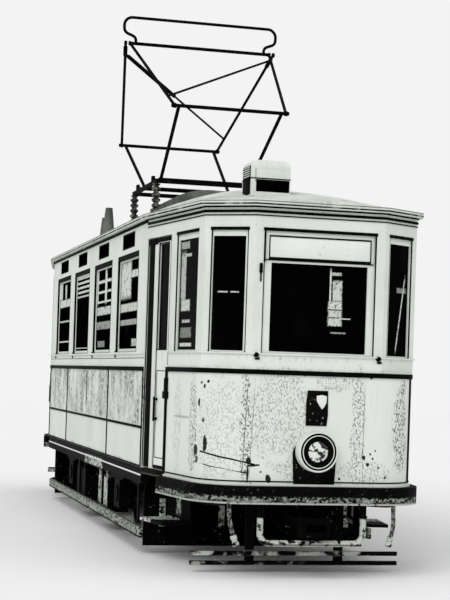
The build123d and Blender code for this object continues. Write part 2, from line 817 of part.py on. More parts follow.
# radius and distance from the middle line of each step of a wheelset
wheel_steps = (
    (axle_radius, 0), (axle_radius, flange_inner),
    (wheel_radius + flange_height, flange_inner), (wheel_radius + flange_height, flange_inner + 22),
    (wheel_radius, flange_inner + 36), (wheel_radius - tread_fall, outer_face),
    (wheel_radius - rim_depth, outer_face), (wheel_radius - rim_depth - 10, outer_face - web_inset),
    (hub_radius + 10, outer_face - web_inset), (hub_radius, outer_face), (journal_radius, outer_face),
    (journal_radius, journal_end), (0, journal_end), (0, 0),
)
for name, x in (("wheelset_front", axle_x), ("wheelset_rear", -axle_x)):
    with BuildPart() as wheelset:
        for side in sides:
            with BuildSketch(Plane(origin=(x, 0, axle_z), x_dir=(1, 0, 0), z_dir=(0, 0, 1))) as outline:
                with BuildLine():
                    Polyline(*[(radius, side * y) for radius, y in wheel_steps], close=True)
                make_face()
            revolve(outline.sketch, axis=Axis((x, 0, axle_z), (0, 1, 0)))
    wheelset.part.label = name
    export_step(wheelset.part, f"parts/{name}.step")

motor_gap = 40
motor_length = 570
motor_half = 320
motor_drop = 210
motor_rise = 170
nose_half = 120
with BuildPart() as traction_motors:
    for end in ends:
        near = axle_x - axle_radius - motor_gap
        far = near - motor_length
        motor_x = sorted((end * near, end * far))
        block(motor_x, (-motor_half, motor_half), (axle_z - motor_drop, axle_z + motor_rise))
        nose_x = sorted((end * far, end * (axle_x - beam_back + beam_half)))
        block(nose_x, (-nose_half, nose_half), (frame_low, axle_z + motor_rise))
traction_motors.part.label = "traction_motors"
export_step(traction_motors.part, "parts/traction_motors.step")

shoe_gap = 8
shoe_thick = 50
shoe_rise = 100
shoe_y = (flange_inner + 40, flange_inner + 90)
brake_beam = 40
brake_beam_half = 30
brake_hanger_y = (560, 600)
with BuildPart() as brake_gear:
    for end in ends:
        shoe_x = end * (axle_x + wheel_radius + shoe_gap)
        beam_x = shoe_x + end * shoe_thick
        for side in sides:
            place_y = sorted((side * shoe_y[0], side * shoe_y[1]))
            block(sorted((shoe_x, beam_x)), place_y, (axle_z - shoe_rise, axle_z + shoe_rise))
        beam_z = (axle_z - brake_beam_half, axle_z + brake_beam_half)
        block(sorted((beam_x, beam_x + end * brake_beam)), (-shoe_y[1], shoe_y[1]), beam_z)
        for side in sides:
            hanger_x = sorted((beam_x + end * brake_beam / 2, end * (frame_end - 2 * beam_half)))
            hanger_y = sorted((side * brake_hanger_y[0], side * brake_hanger_y[1]))
            block(hanger_x, hanger_y, (axle_z - brake_beam_half + 10, frame_high - 10))
brake_gear.part.label = "brake_gear"
export_step(brake_gear.part, "parts/brake_gear.step")

# Side guards, boxes and steps
side_guard_z = (145, 235)
side_guard_stop = 60
side_guard_thick = 30
side_guard_inset = 15
side_hanger_thick = 15
side_hanger_half = 25
hanger_from_pillar = 300
hanger_from_axle = 700
side_hanger_places = (corner_pillar - hanger_from_pillar, axle_x - hanger_from_axle)
with BuildPart() as side_guards:
    for side in sides:
        inner = side_y - side_guard_inset - side_guard_thick
        board_y = sorted((side * inner, side * (side_y - side_guard_inset)))
        block((side_guard_stop - corner_pillar, corner_pillar - side_guard_stop), board_y, side_guard_z)
        hanger_y = sorted((side * (inner - side_hanger_thick), side * inner))
        for end in ends:
            for place in side_hanger_places:
                hanger_x = (end * place - side_hanger_half, end * place + side_hanger_half)
                block(hanger_x, hanger_y, (side_guard_z[0], sole_low))
side_guards.part.label = "side_guards"
export_step(side_guards.part, "parts/side_guards.step")

box_near = 460
box_far = 1000
box_inset = 62
box_depth = 203
box_z = (185, 513)
strap_width = 40
with BuildPart() as equipment_boxes:
    for side in sides:
        for end in ends:
            outer = side_y - box_inset
            box_y = sorted((side * (outer - box_depth), side * outer))
            block(sorted((end * (axle_x - box_far), end * (axle_x - box_near))), box_y, box_z)
            strap_y = sorted((side * (side_y - sole_thick), side * outer))
            for place in (axle_x - box_far + 50, axle_x - box_near - 90):
                strap_x = sorted((end * place, end * (place + strap_width)))
                block(strap_x, strap_y, (box_z[1], sole_low))
equipment_boxes.part.label = "equipment_boxes"
export_step(equipment_boxes.part, "parts/equipment_boxes.step")

step_z = 330
step_gap = 20
step_depth = 260
tread_thick = 25
riser_thick = 15
with BuildPart() as entry_steps:
    for end in ends:
        for side in sides:
            reach = (door_front + step_gap, door_back - step_gap)
            tread = [tapered(s, 0, end, side) for s in reach]
            tread = tread + [tapered(s, step_depth, end, side) for s in reversed(reach)]
            upright(tread, step_z - tread_thick, step_z)
            riser = [tapered(s, step_depth - riser_thick, end, side) for s in reach]
            riser = riser + [tapered(s, step_depth, end, side) for s in reversed(reach)]
            upright(riser, step_z, dash_low)
entry_steps.part.label = "entry_steps"
export_step(entry_steps.part, "parts/entry_steps.step")

# Doors: in each doorway a glazed leaf on the front post and a narrow leaf on the body's corner pillar
leaf_gap = 8
leaf_stile = 70
meet_stile = 38
pane_rise = 20
pane_drop = 60
pane_inset = 14
panel_inset = 6
panel_rise = 90
panel_height = 720
bore_depth = 24
pin_gap = 2
leaf_low = platform_top + leaf_gap
leaf_high = end_head - leaf_gap
leaf_pane = (door_front + leaf_stile, door_meet - meet_stile)
pane_z = (sill + pane_rise, end_head - pane_drop)
panel_z = (leaf_low + panel_rise, leaf_low + panel_rise + panel_height)
wide_pivot = door_front + door_gap + pivot_inset
narrow_pivot = door_back - pillar_gap - pivot_inset
pivot_depth = door_inset + leaf_thick - pivot_inset
with BuildPart() as door_pivots:
    for corner, end, side in corners:
        for s in (wide_pivot, narrow_pivot):
            place = tapered(s, pivot_depth, end, side)
            tube((*place, platform_top), (*place, leaf_low + bore_depth - pin_gap), pivot_radius)
            tube((*place, leaf_high - bore_depth + pin_gap), (*place, end_head), pivot_radius)
door_pivots.part.label = "door_pivots"
export_step(door_pivots.part, "parts/door_pivots.step")


def door_slab(first, last, pivot, end, side):
    """Door leaf between two points of the tapered side, bored for its pivots."""
    plan = [tapered(s, door_inset, end, side) for s in (first, last)]
    plan = plan + [tapered(s, door_inset + leaf_thick, end, side) for s in (last, first)]
    upright(plan, leaf_low, leaf_high)
    place = tapered(pivot, pivot_depth, end, side)
    bore = pivot_radius + pivot_clearance
    tube((*place, leaf_low - 1), (*place, leaf_low + bore_depth), bore, Mode.SUBTRACT)
    tube((*place, leaf_high - bore_depth), (*place, leaf_high + 1), bore, Mode.SUBTRACT)


def leaf_cut(edges, depths, heights, end, side):
    """Opening or recess in a leaf, between two depths from the tapered side."""
    plan = [tapered(s, depths[0], end, side) for s in edges]
    plan = plan + [tapered(s, depths[1], end, side) for s in reversed(edges)]
    upright(plan, heights[0], heights[1], Mode.SUBTRACT)


for corner, end, side in corners:
    with BuildPart() as leaf:
        door_slab(door_front + door_gap, door_meet - meet_gap / 2, wide_pivot, end, side)
        leaf_cut(leaf_pane, (door_inset - 1, door_inset + leaf_thick + 1), pane_z, end, side)
        leaf_cut(leaf_pane, (door_inset - 1, door_inset + panel_inset), panel_z, end, side)
    leaf.part.label = f"door_{corner}"
    export_step(leaf.part, f"parts/door_{corner}.step")

    with BuildPart() as leaf_glass:
        near = door_inset + pane_inset
        plan = [tapered(s, near, end, side) for s in leaf_pane]
        plan = plan + [tapered(s, near + glass_thick, end, side) for s in reversed(leaf_pane)]
        upright(plan, pane_z[0], pane_z[1])
    leaf_glass.part.label = f"door_glass_{corner}"
    export_step(leaf_glass.part, f"parts/door_glass_{corner}.step")

    with BuildPart() as narrow_leaf:
        door_slab(door_meet + meet_gap / 2, door_back - pillar_gap, narrow_pivot, end, side)
    narrow_leaf.part.label = f"narrow_door_{corner}"
    export_step(narrow_leaf.part, f"parts/narrow_door_{corner}.step")

# Inside: benches, controllers and hand brakes
bench_gap = 200
# distance from the wall and height over the floor of each corner of a bench's section
bench_corners = ((0, 0), (370, 0), (400, 390), (430, 395), (430, 430), (130, 405), (70, 830), (0, 830))
with BuildPart() as bench_seats:
    for side in sides:
        bench_end = Plane(origin=(bench_gap - corner_pillar, 0, 0), x_dir=(0, 1, 0), z_dir=(1, 0, 0))
        outline = [(side * (side_y - wall - out), saloon_top + up) for out, up in bench_corners]
        with BuildSketch(bench_end) as section:
            with BuildLine():
                Polyline(*outline, close=True)
            make_face()
        extrude(section.sketch, amount=2 * (corner_pillar - bench_gap))
bench_seats.part.label = "bench_seats"
export_step(bench_seats.part, "parts/bench_seats.step")

controller_back = (240, 480)
controller_y = (40, 400)
controller_height = 920
knob_radius = 35
knob_height = 70
with BuildPart() as controllers:
    for end in ends:
        case_x = sorted((end * (front - controller_back[0]), end * (front - controller_back[1])))
        case_y = sorted((-end * controller_y[0], -end * controller_y[1]))
        block(case_x, case_y, (platform_top, platform_top + controller_height))
        knob_x = end * (front - sum(controller_back) / 2)
        knob_y = -end * sum(controller_y) / 2
        top = platform_top + controller_height
        tube((knob_x, knob_y, top), (knob_x, knob_y, top + knob_height), knob_radius)
controllers.part.label = "controllers"
export_step(controllers.part, "parts/controllers.step")

column_back = 360
column_y = 330
column_radius = 28
column_height = 960
hand_wheel_radius = 150
hand_wheel_rim = 30
hand_wheel_thick = 24
with BuildPart() as hand_brakes:
    for end in ends:
        place = (end * (front - column_back), end * column_y)
        tube((*place, platform_top), (*place, platform_top + column_height), column_radius)
        with BuildSketch(Plane.XY.offset(platform_top + column_height - 10)) as wheel:
            with Locations(place):
                Circle(hand_wheel_radius)
                Circle(hand_wheel_radius - hand_wheel_rim, mode=Mode.SUBTRACT)
                Rectangle(2 * hand_wheel_radius - hand_wheel_rim - 20, hand_wheel_thick - 2)
        extrude(wheel.sketch, amount=hand_wheel_thick)
hand_brakes.part.label = "hand_brakes"
export_step(hand_brakes.part, "parts/hand_brakes.step")

# Pantograph: base frame on insulators, two lower frames, two upper frames and the bow
rail_gap = 40
rail_thick = 30
rail_drop = (60, 20)
rail_reach = 620
rail_inner = panto_base_half + rail_gap
lug_half = 30
lug_rise = 32
with BuildPart() as panto_base:
    rail_z = (panto_base_z - rail_drop[0], panto_base_z - rail_drop[1])
    for side in sides:
        rail_y = sorted((side * rail_inner, side * (rail_inner + rail_thick)))
        block((-rail_reach, rail_reach), rail_y, rail_z)
        for end in ends:
            lug_x = end * panto_base_x
            block((lug_x - lug_half, lug_x + lug_half), rail_y, (rail_z[0], panto_base_z + lug_rise))
            eye = ((lug_x, rail_y[0] - 1, panto_base_z), (lug_x, rail_y[1] + 1, panto_base_z))
            tube(*eye, pin_radius + pin_clearance, Mode.SUBTRACT)
    for end in ends:
        block(sorted((end * (rail_reach - rail_thick), end * rail_reach)), (-rail_inner, rail_inner), rail_z)
panto_base.part.label = "panto_base"
export_step(panto_base.part, "parts/panto_base.step")

insulator_x = 560
insulator_radius = 45
insulator_root = 220
with BuildPart() as panto_insulators:
    for end in ends:
        for side in sides:
            post = (end * insulator_x, side * (rail_inner + rail_thick / 2))
            tube((*post, eaves + insulator_root), (*post, panto_base_z - rail_drop[0]), insulator_radius)
    add(roof_outside.part, mode=Mode.SUBTRACT)
panto_insulators.part.label = "panto_insulators"
export_step(panto_insulators.part, "parts/panto_insulators.step")

shaft_radius = 22
shaft_pin = 70
knee_pin = 36
for name, end in (("panto_lower_front", 1), ("panto_lower_rear", -1)):
    with BuildPart() as lower_frame:
        base = (end * panto_base_x, panto_base_z)
        knee = (end * panto_knee_x, panto_knee_z)
        for at, half, radius in (
            (base, panto_base_half, shaft_radius), (base, panto_base_half + shaft_pin, pin_radius),
            (knee, panto_knee_half, panto_tube), (knee, panto_knee_half + knee_pin, pin_radius),
        ):
            tube((at[0], -half, at[1]), (at[0], half, at[1]), radius)
        for side in sides:
            foot = (base[0], side * (panto_base_half - shaft_radius), base[1])
            tube(foot, (knee[0], side * (panto_knee_half - shaft_radius), knee[1]), panto_tube)
    lower_frame.part.label = name
    export_step(lower_frame.part, f"parts/{name}.step")

eye_gap = 6
eye_width = 26
eye_radius = 24
arm_radius = 15
brace_radius = 11
brace_low = 0.14
brace_high = 0.9
arm_y = panto_knee_half + eye_gap + eye_width / 2
rear_top_half = panto_top_half + panto_rear_out


def arm_point(share, side, end, top_half):
    """Point a share of the way up one arm of an upper frame."""
    x = end * panto_knee_x * (1 - share)
    return x, side * (arm_y + share * (top_half - arm_y)), panto_knee_z + share * panto_upper_rise


def arm_eye(place, radius, overlap, mode=Mode.ADD):
    """Eye or bore across an arm's end, longer than the eye by overlap on both faces."""
    x, y, z = place
    reach = eye_width / 2 + overlap
    tube((x, y - reach, z), (x, y + reach, z), radius, mode)


upper_frames = (("panto_upper_front", 1, panto_top_half), ("panto_upper_rear", -1, rear_top_half))
for name, end, top_half in upper_frames:
    with BuildPart() as upper_frame:
        for side in sides:
            low_eye = arm_point(0, side, end, top_half)
            high_eye = arm_point(1, side, end, top_half)
            arm_eye(low_eye, eye_radius, 0)
            arm_eye(high_eye, shaft_radius, 0)
            start = arm_point(arm_trim, side, end, top_half)
            tube(start, arm_point(1 - arm_trim, side, end, top_half), arm_radius)
            for eye in (low_eye, high_eye):
                arm_eye(eye, pin_radius + pin_clearance, 1, Mode.SUBTRACT)
        start = arm_point(brace_low, -end, end, top_half)
        tube(start, arm_point(brace_high, end, end, top_half), brace_radius)
    upper_frame.part.label = name
    export_step(upper_frame.part, f"parts/{name}.step")

bow_inset = 20
hoop_inset = 40
hoop_tube = 15
bow_pin = 34
# distance out from the hoop's foot, height over the shaft and radius of each bend of the hoop
bow_bends = ((0, 65, 50), (122, 112, 60), (126, 265, 85))
with BuildPart() as panto_bow:
    inner_half = panto_top_half - bow_inset
    hoop_half = inner_half - hoop_inset
    tube((0, -inner_half, panto_top_z), (0, inner_half, panto_top_z), panto_tube)
    tube((0, -inner_half - bow_pin, panto_top_z), (0, inner_half + bow_pin, panto_top_z), pin_radius)
    foot = Vector(0, hoop_half, panto_top_z)
    hoop = [foot] + [foot + Vector(0, out, rise) for out, rise, radius in bow_bends]
    hoop = hoop + [Vector(0, -point.Y, point.Z) for point in reversed(hoop)]
    radii = [radius for out, rise, radius in bow_bends]
    with BuildLine() as hoop_line:
        FilletPolyline(*hoop, radius=radii + radii[::-1])
    with BuildSketch(Plane(origin=foot, z_dir=(0, 0, 1))):
        Circle(hoop_tube)
    sweep(path=hoop_line.line)
panto_bow.part.label = "panto_bow"
export_step(panto_bow.part, "parts/panto_bow.step")
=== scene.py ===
import json
import math

import bmesh
import bpy
from mathutils import Matrix, Vector

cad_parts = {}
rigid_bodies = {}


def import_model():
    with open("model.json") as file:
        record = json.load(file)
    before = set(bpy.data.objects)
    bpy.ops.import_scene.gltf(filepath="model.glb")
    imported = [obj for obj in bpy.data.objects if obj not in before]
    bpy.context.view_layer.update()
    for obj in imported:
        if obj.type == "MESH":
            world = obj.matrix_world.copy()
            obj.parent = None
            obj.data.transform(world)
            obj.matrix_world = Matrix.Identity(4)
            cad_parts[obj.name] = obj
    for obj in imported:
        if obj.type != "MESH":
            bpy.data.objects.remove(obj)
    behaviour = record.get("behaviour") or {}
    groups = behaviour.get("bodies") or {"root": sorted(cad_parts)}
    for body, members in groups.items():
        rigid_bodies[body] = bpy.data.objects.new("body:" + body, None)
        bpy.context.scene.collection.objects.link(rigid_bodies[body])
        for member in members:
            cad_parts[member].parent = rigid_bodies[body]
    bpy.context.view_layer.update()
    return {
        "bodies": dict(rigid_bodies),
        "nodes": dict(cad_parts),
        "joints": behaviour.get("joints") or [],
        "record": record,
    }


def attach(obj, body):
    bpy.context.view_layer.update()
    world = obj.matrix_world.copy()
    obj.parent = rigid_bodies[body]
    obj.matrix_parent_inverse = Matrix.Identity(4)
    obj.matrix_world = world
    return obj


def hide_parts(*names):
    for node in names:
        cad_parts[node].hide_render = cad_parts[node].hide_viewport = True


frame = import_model()
print("frame loaded")

# main sizes of the car body in metres, as the solids have them
car = {
    "front": 4.25, "middleHalf": 0.52, "facetBack": 0.218, "facetHalf": 0.859, "sideY": 1.05, "pillarX": 2.8,
    "dashCorner": 0.36, "sill": 1.71, "sideHead": 2.59, "endHead": 2.655,
}
taperX = car["front"] - car["facetBack"]
facetRun = car["facetHalf"] - car["middleHalf"]
facetLength = math.hypot(car["facetBack"], facetRun)
taperAngle = math.atan2(car["sideY"] - car["facetHalf"], taperX - car["pillarX"])
ends = (1, -1)
sides = (-1, 1)
corners = (("front_left", 1, 1), ("front_right", 1, -1), ("rear_left", -1, 1), ("rear_right", -1, -1))


# selecting and shaping

def choose(*pieces):  # selects these pieces and no others, with the first one active
    if bpy.context.mode != "OBJECT":
        bpy.ops.object.mode_set(mode="OBJECT")
    bpy.ops.object.select_all(action="DESELECT")
    for piece in pieces:
        piece.select_set(True)
    if pieces:
        bpy.context.view_layer.objects.active = pieces[0]


def startEditing(piece, whole=False):
    choose(piece)
    bpy.ops.object.mode_set(mode="EDIT")
    bpy.ops.mesh.select_mode(type="FACE")
    bpy.ops.mesh.select_all(action="SELECT" if whole else "DESELECT")


def stopEditing():
    bpy.ops.object.mode_set(mode="OBJECT")


def pick(piece, kind, wanted):  # selects the faces or edges that pass a test
    shape = bmesh.from_edit_mesh(piece.data)
    for part in getattr(shape, kind):
        part.select_set(bool(wanted(part)))
    bmesh.update_edit_mesh(piece.data)


def setPlace():  # the place goes into the mesh
    bpy.ops.object.transform_apply(location=True, rotation=True, scale=True)


def takeNew(name):  # names the primitive that was just added
    piece = bpy.context.object
    piece.name = name
    setPlace()
    return piece


def tidyNormals(piece):
    startEditing(piece, whole=True)
    bpy.ops.mesh.remove_doubles(threshold=0.00005)
    bpy.ops.mesh.normals_make_consistent(inside=False)
    stopEditing()


def applyModifier(piece, kind, **settings):
    choose(piece)
    modifier = piece.modifiers.new(kind.title(), kind)
    for key, value in settings.items():
        setattr(modifier, key, value)
    bpy.ops.object.modifier_apply(modifier=modifier.name)


def easeEdges(piece, width, angle=1.0):  # rounds the edges that turn by more than an angle
    if width:
        applyModifier(piece, "BEVEL", width=width, segments=2, limit_method="ANGLE", angle_limit=angle)


def addBlock(name, low, high, soft=0.003):  # a box with eased edges
    choose()
    middle = [(a + b) / 2 for a, b in zip(low, high)]
    bpy.ops.mesh.primitive_cube_add(size=1, location=middle, scale=[abs(b - a) for a, b in zip(low, high)])
    piece = takeNew(name)
    if soft:
        startEditing(piece, whole=True)
        bpy.ops.mesh.bevel(offset=soft, segments=2)
        stopEditing()
    return piece


def addBlocks(rows):  # a box for each row of two corners and an edge softness
    return [addBlock(name, *row) for name, row in rows.items()]


def addRod(name, start, finish, radius, around, soft):  # a round bar
    choose()
    way = finish - start
    bpy.ops.mesh.primitive_cylinder_add(
        vertices=around, radius=radius, depth=way.length, location=(start + finish) / 2,
        rotation=way.to_track_quat("Z", "Y").to_euler())
    piece = takeNew(name)
    startEditing(piece)
    line = way.normalized()
    pick(piece, "faces", lambda face: abs(face.normal.dot(line)) > 0.99)
    bpy.ops.mesh.bevel(offset=soft, segments=2)
    stopEditing()
    return piece


def addChain(name, points):  # a run of edges, left open in edit mode with everything selected
    choose()
    bpy.ops.mesh.primitive_plane_add(size=0.01, location=points[0])
    piece = takeNew(name)
    bpy.ops.object.mode_set(mode="EDIT")
    bpy.ops.mesh.select_mode(type="VERT")
    bpy.ops.mesh.select_all(action="SELECT")
    bpy.ops.mesh.merge(type="CENTER")
    for here, there in zip(points, points[1:]):
        step = [b - a for a, b in zip(here, there)]
        bpy.ops.mesh.extrude_region_move(TRANSFORM_OT_translate={"value": step})
    bpy.ops.mesh.select_all(action="SELECT")
    return piece


def addBand(name, path, low, high, thick):  # an upright strip that follows a plan path
    piece = addChain(name, [(x, y, low) for x, y in path])
    bpy.ops.mesh.extrude_region_move(TRANSFORM_OT_translate={"value": (0, 0, high - low)})
    stopEditing()
    applyModifier(piece, "SOLIDIFY", thickness=thick, offset=0, use_even_offset=True)
    easeEdges(piece, 0.0015)
    tidyNormals(piece)
    return piece


def addPlate(name, outline, depth, soft):  # a flat plate cut to an outline and given a thickness
    piece = addChain(name, outline)
    bpy.ops.mesh.edge_face_add()
    bpy.ops.mesh.extrude_region_move(TRANSFORM_OT_translate={"value": depth})
    bpy.ops.mesh.select_all(action="SELECT")
    bpy.ops.mesh.normals_make_consistent(inside=False)
    stopEditing()
    easeEdges(piece, soft, 0.9)
    return piece


def addTurned(name, profile, place, axis, steps):  # (radius, height) pairs spun round an axis
    piece = addChain(name, [(radius, 0, height) for radius, height in profile])
    bpy.ops.mesh.spin(steps=steps, angle=math.tau, center=(0, 0, 0), axis=(0, 0, 1))
    stopEditing()
    tidyNormals(piece)
    piece.rotation_euler = Vector(axis).to_track_quat("Z", "Y").to_euler()
    piece.location = place
    choose(piece)
    setPlace()
    return piece


def boltHead(radius, flat, neck, top):  # profile of a bolt head or nut
    return [(0, 0), (radius, 0), (radius, flat), (neck, top), (0, top + 0.001)]


def drawLine(name, points, radius, around):  # a round line with the points as control points
    line = bpy.data.curves.new(name, "CURVE")
    line.dimensions = "3D"
    spline = line.splines.new("NURBS")
    spline.points.add(len(points) - 1)
    for spot, place in zip(spline.points, points):
        spot.co = (*place, 1)
    spline.order_u = 3
    spline.use_endpoint_u = True
    line.resolution_u = 8
    line.bevel_depth = radius
    line.bevel_resolution = around
    line.use_fill_caps = True
    piece = bpy.data.objects.new(name, line)
    bpy.context.scene.collection.objects.link(piece)
    return piece


def addPipe(name, points, radius, around):
    choose(drawLine(name, points, radius, around))
    bpy.ops.object.convert(target="MESH")
    piece = bpy.context.object
    tidyNormals(piece)
    return piece


def gather(name, parts):  # joins a part or a list of parts into one named piece
    parts = parts if isinstance(parts, list) else [parts]
    choose(*parts)
    if len(parts) > 1:
        bpy.ops.object.join()
    parts[0].name = name
    return parts[0]


def dress(name, parts, finish, body="car", stands=None, smooth=35):
    # makes one piece of the parts; stands names the solid that the piece takes the place of
    piece = gather(name, parts)
    bpy.ops.object.shade_smooth_by_angle(angle=math.radians(smooth))
    piece.data.materials.clear()
    piece.data.materials.append(finish)
    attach(piece, body)
    if stands:
        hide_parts(stands)
    return piece


# walls of the front left quarter seen from above: corner, way along and way out
walls = {
    "side": ((0, car["sideY"]), (1, 0), (0, 1)),
    "nose": ((car["front"], 0), (0, 1), (1, 0)),
    "facet": ((car["front"], car["middleHalf"]), (-car["facetBack"] / facetLength, facetRun / facetLength),
              (facetRun / facetLength, car["facetBack"] / facetLength)),
    "taper": ((taperX, car["facetHalf"]), (-math.cos(taperAngle), math.sin(taperAngle)),
              (math.sin(taperAngle), math.cos(taperAngle))),
}
# spots on walls: kind of wall, end, side and distance along it
everyWall = {kind: [(kind, end, side, 0) for end in ends for side in sides] for kind in ("facet", "taper")}
everyWall["nose"] = [("nose", end, 1, 0) for end in ends]
everyWall["side"] = [("side", 1, side, 0) for side in sides]


def setOnWalls(parts, spots):
    # the parts are shaped with x along the wall, y out of it and z up; a copy goes to each spot, all joined
    master = gather("master", parts)
    copies = []
    for kind, end, side, along in spots:
        corner, way, out = [(end * x, side * y) for x, y in walls[kind]]
        copy = master.copy()
        copy.data = master.data.copy()
        bpy.context.scene.collection.objects.link(copy)
        rows = [(way[i], out[i], 0, corner[i]) for i in (0, 1)]
        copy.matrix_world = Matrix((*rows, (0, 0, 1, 0), (0, 0, 0, 1))) @ Matrix.Translation((along, 0, 0))
        copies.append(copy)
    bpy.data.objects.remove(master)
    choose(*copies)
    setPlace()
    piece = gather("copies", copies)
    tidyNormals(piece)
    return piece


def addSash(name, outer, inner, depth, corner=0.0, soft=0.003):
    # a frame between an outer and an inner edge, each x low, x high, z low, z high
    piece = addBlock(name, (outer[0], depth[0], outer[2]), (outer[1], depth[1], outer[3]), 0)
    middleX, middleZ = (outer[0] + outer[1]) / 2, (outer[2] + outer[3]) / 2
    startEditing(piece)
    pick(piece, "faces", lambda face: abs(face.normal.y) > 0.9)
    bpy.ops.mesh.inset(thickness=0.005, use_individual=True)
    shape = bmesh.from_edit_mesh(piece.data)
    for face in [f for f in shape.faces if f.select]:  # the inner edge goes to its own place
        for vertex in face.verts:
            vertex.co.x = inner[0] if vertex.co.x < middleX else inner[1]
            vertex.co.z = inner[2] if vertex.co.z < middleZ else inner[3]
    bmesh.update_edit_mesh(piece.data)
    bpy.ops.mesh.bridge_edge_loops()
    if corner:
        def isCorner(edge):  # runs in and out of the wall, within the inner edge
            a, b = [vertex.co for vertex in edge.verts]
            insideX = inner[0] - 0.001 < a.x < inner[1] + 0.001
            return abs(a.y - b.y) > 0.001 and insideX and inner[2] - 0.001 < a.z < inner[3] + 0.001

        bpy.ops.mesh.select_mode(type="EDGE")
        pick(piece, "edges", isCorner)
        bpy.ops.mesh.bevel(offset=corner, segments=5)
    stopEditing()
    easeEdges(piece, soft)
    return piece


def mirrorPath(half, end):  # a plan path from one side of an end round to the other
    return [(end * x, y) for x, y in reversed(half)] + [(end * x, -y) for x, y in half]


def onTaper(reach, out):  # a plan point along the platform wall
    corner, way, outward = [Vector(part) for part in walls["taper"]]
    return corner + reach * way + out * outward


def onDash(turn, out, side):  # a plan point off the dash's round corner, degrees back from straight ahead
    angle = math.radians(turn)
    reach = car["dashCorner"] + out
    x = car["front"] - car["dashCorner"] + reach * math.cos(angle)
    return x, side * (car["middleHalf"] + reach * math.sin(angle))


def bodyPath(out, end, reach):  # plan of one end of the body at a distance out of its walls, as far as reach
    half, before = [], Vector((1, 0))
    for kind in ("facet", "taper"):
        corner, after = Vector(walls[kind][0]), Vector(walls[kind][2])
        half.append(corner + (before + after) * (out / (1 + before.dot(after))))
        before = after
    half.append(onTaper(reach, out) if reach else Vector((car["pillarX"], car["sideY"] + out)))
    return mirrorPath(half, end)


def dashPath(out, end, reach, steps=9):  # plan of the rounded dash
    swing = (90 - math.degrees(taperAngle)) / steps
    half = [onDash(i * swing, out, 1) for i in range(steps + 1)]
    return mirrorPath(half + [onTaper(reach, out)], end)


# materials: masks and colours are sockets, and each finds its node tree through them

def toLinear(code):  # sRGB hex to linear colour
    parts = [int(code[i:i + 2], 16) / 255 for i in (1, 3, 5)]
    return tuple(p / 12.92 if p <= 0.04045 else ((p + 0.055) / 1.055) ** 2.4 for p in parts) + (1.0,)


def addNode(tree, kind, **values):
    # one node: a setting starts small, a socket with a capital or as n0; a socket takes a value or a link
    node = tree.nodes.new("ShaderNode" + kind)
    for key, value in values.items():
        if key[0].islower() and not key[1:].isdigit():
            setattr(node, key, value)
            continue
        socket = node.inputs[int(key[1:]) if key[1:].isdigit() else key.replace("_", " ")]
        if isinstance(value, bpy.types.NodeSocket):
            tree.links.new(value, socket)
        else:
            socket.default_value = value
    return node


def startMaterial(name, roughness, **surface):  # a new material and its object coordinates
    material = bpy.data.materials.new(name)
    material.use_nodes = True
    shader = material.node_tree.nodes["Principled BSDF"]
    shader.inputs["Roughness"].default_value = roughness
    for key, socket in (("metallic", "Metallic"), ("ior", "IOR"), ("gloss", "Specular IOR Level")):
        if key in surface:
            shader.inputs[socket].default_value = surface[key]
    return material, addNode(material.node_tree, "TexCoord").outputs["Object"]


def finishMaterial(material, colour, height=None, strength=0.2, distance=0.001):
    tree = material.node_tree
    shader = tree.nodes["Principled BSDF"]
    tree.links.new(colour, shader.inputs["Base Color"])
    if height is not None:
        bump = addNode(tree, "Bump", Strength=strength, Distance=distance, Height=height)
        tree.links.new(bump.outputs["Normal"], shader.inputs["Normal"])
    return material


def noiseMask(place, scale, low, high, stretch=(1, 1, 1), detail=4, shift=(0, 0, 0)):
    # soft-edged patches: 0 below low, 1 above high
    tree = place.id_data
    spot = addNode(tree, "Mapping", Scale=stretch, Location=shift, Vector=place).outputs["Vector"]
    noise = addNode(tree, "TexNoise", Scale=scale, Detail=detail, Roughness=0.62, Vector=spot)
    ramp = addNode(tree, "ValToRGB", Fac=noise.outputs["Fac"])
    for stop, level in zip(ramp.color_ramp.elements, (low, high)):
        stop.position = level
    return ramp.outputs["Color"]


def times(*factors):  # product of masks and shares; the first is a socket
    total = factors[0]
    for factor in factors[1:]:
        total = addNode(total.id_data, "Math", operation="MULTIPLY", n0=total, n1=factor).outputs[0]
    return total


def between(value, low, high, fade):  # 1 where a height or distance lies between two values
    tree = value.id_data
    rise = addNode(tree, "MapRange", From_Min=low - fade, From_Max=low + fade, Value=value)
    fall = addNode(tree, "MapRange", From_Min=high + fade, From_Max=high - fade, Value=value)
    return times(rise.outputs[0], fall.outputs[0])


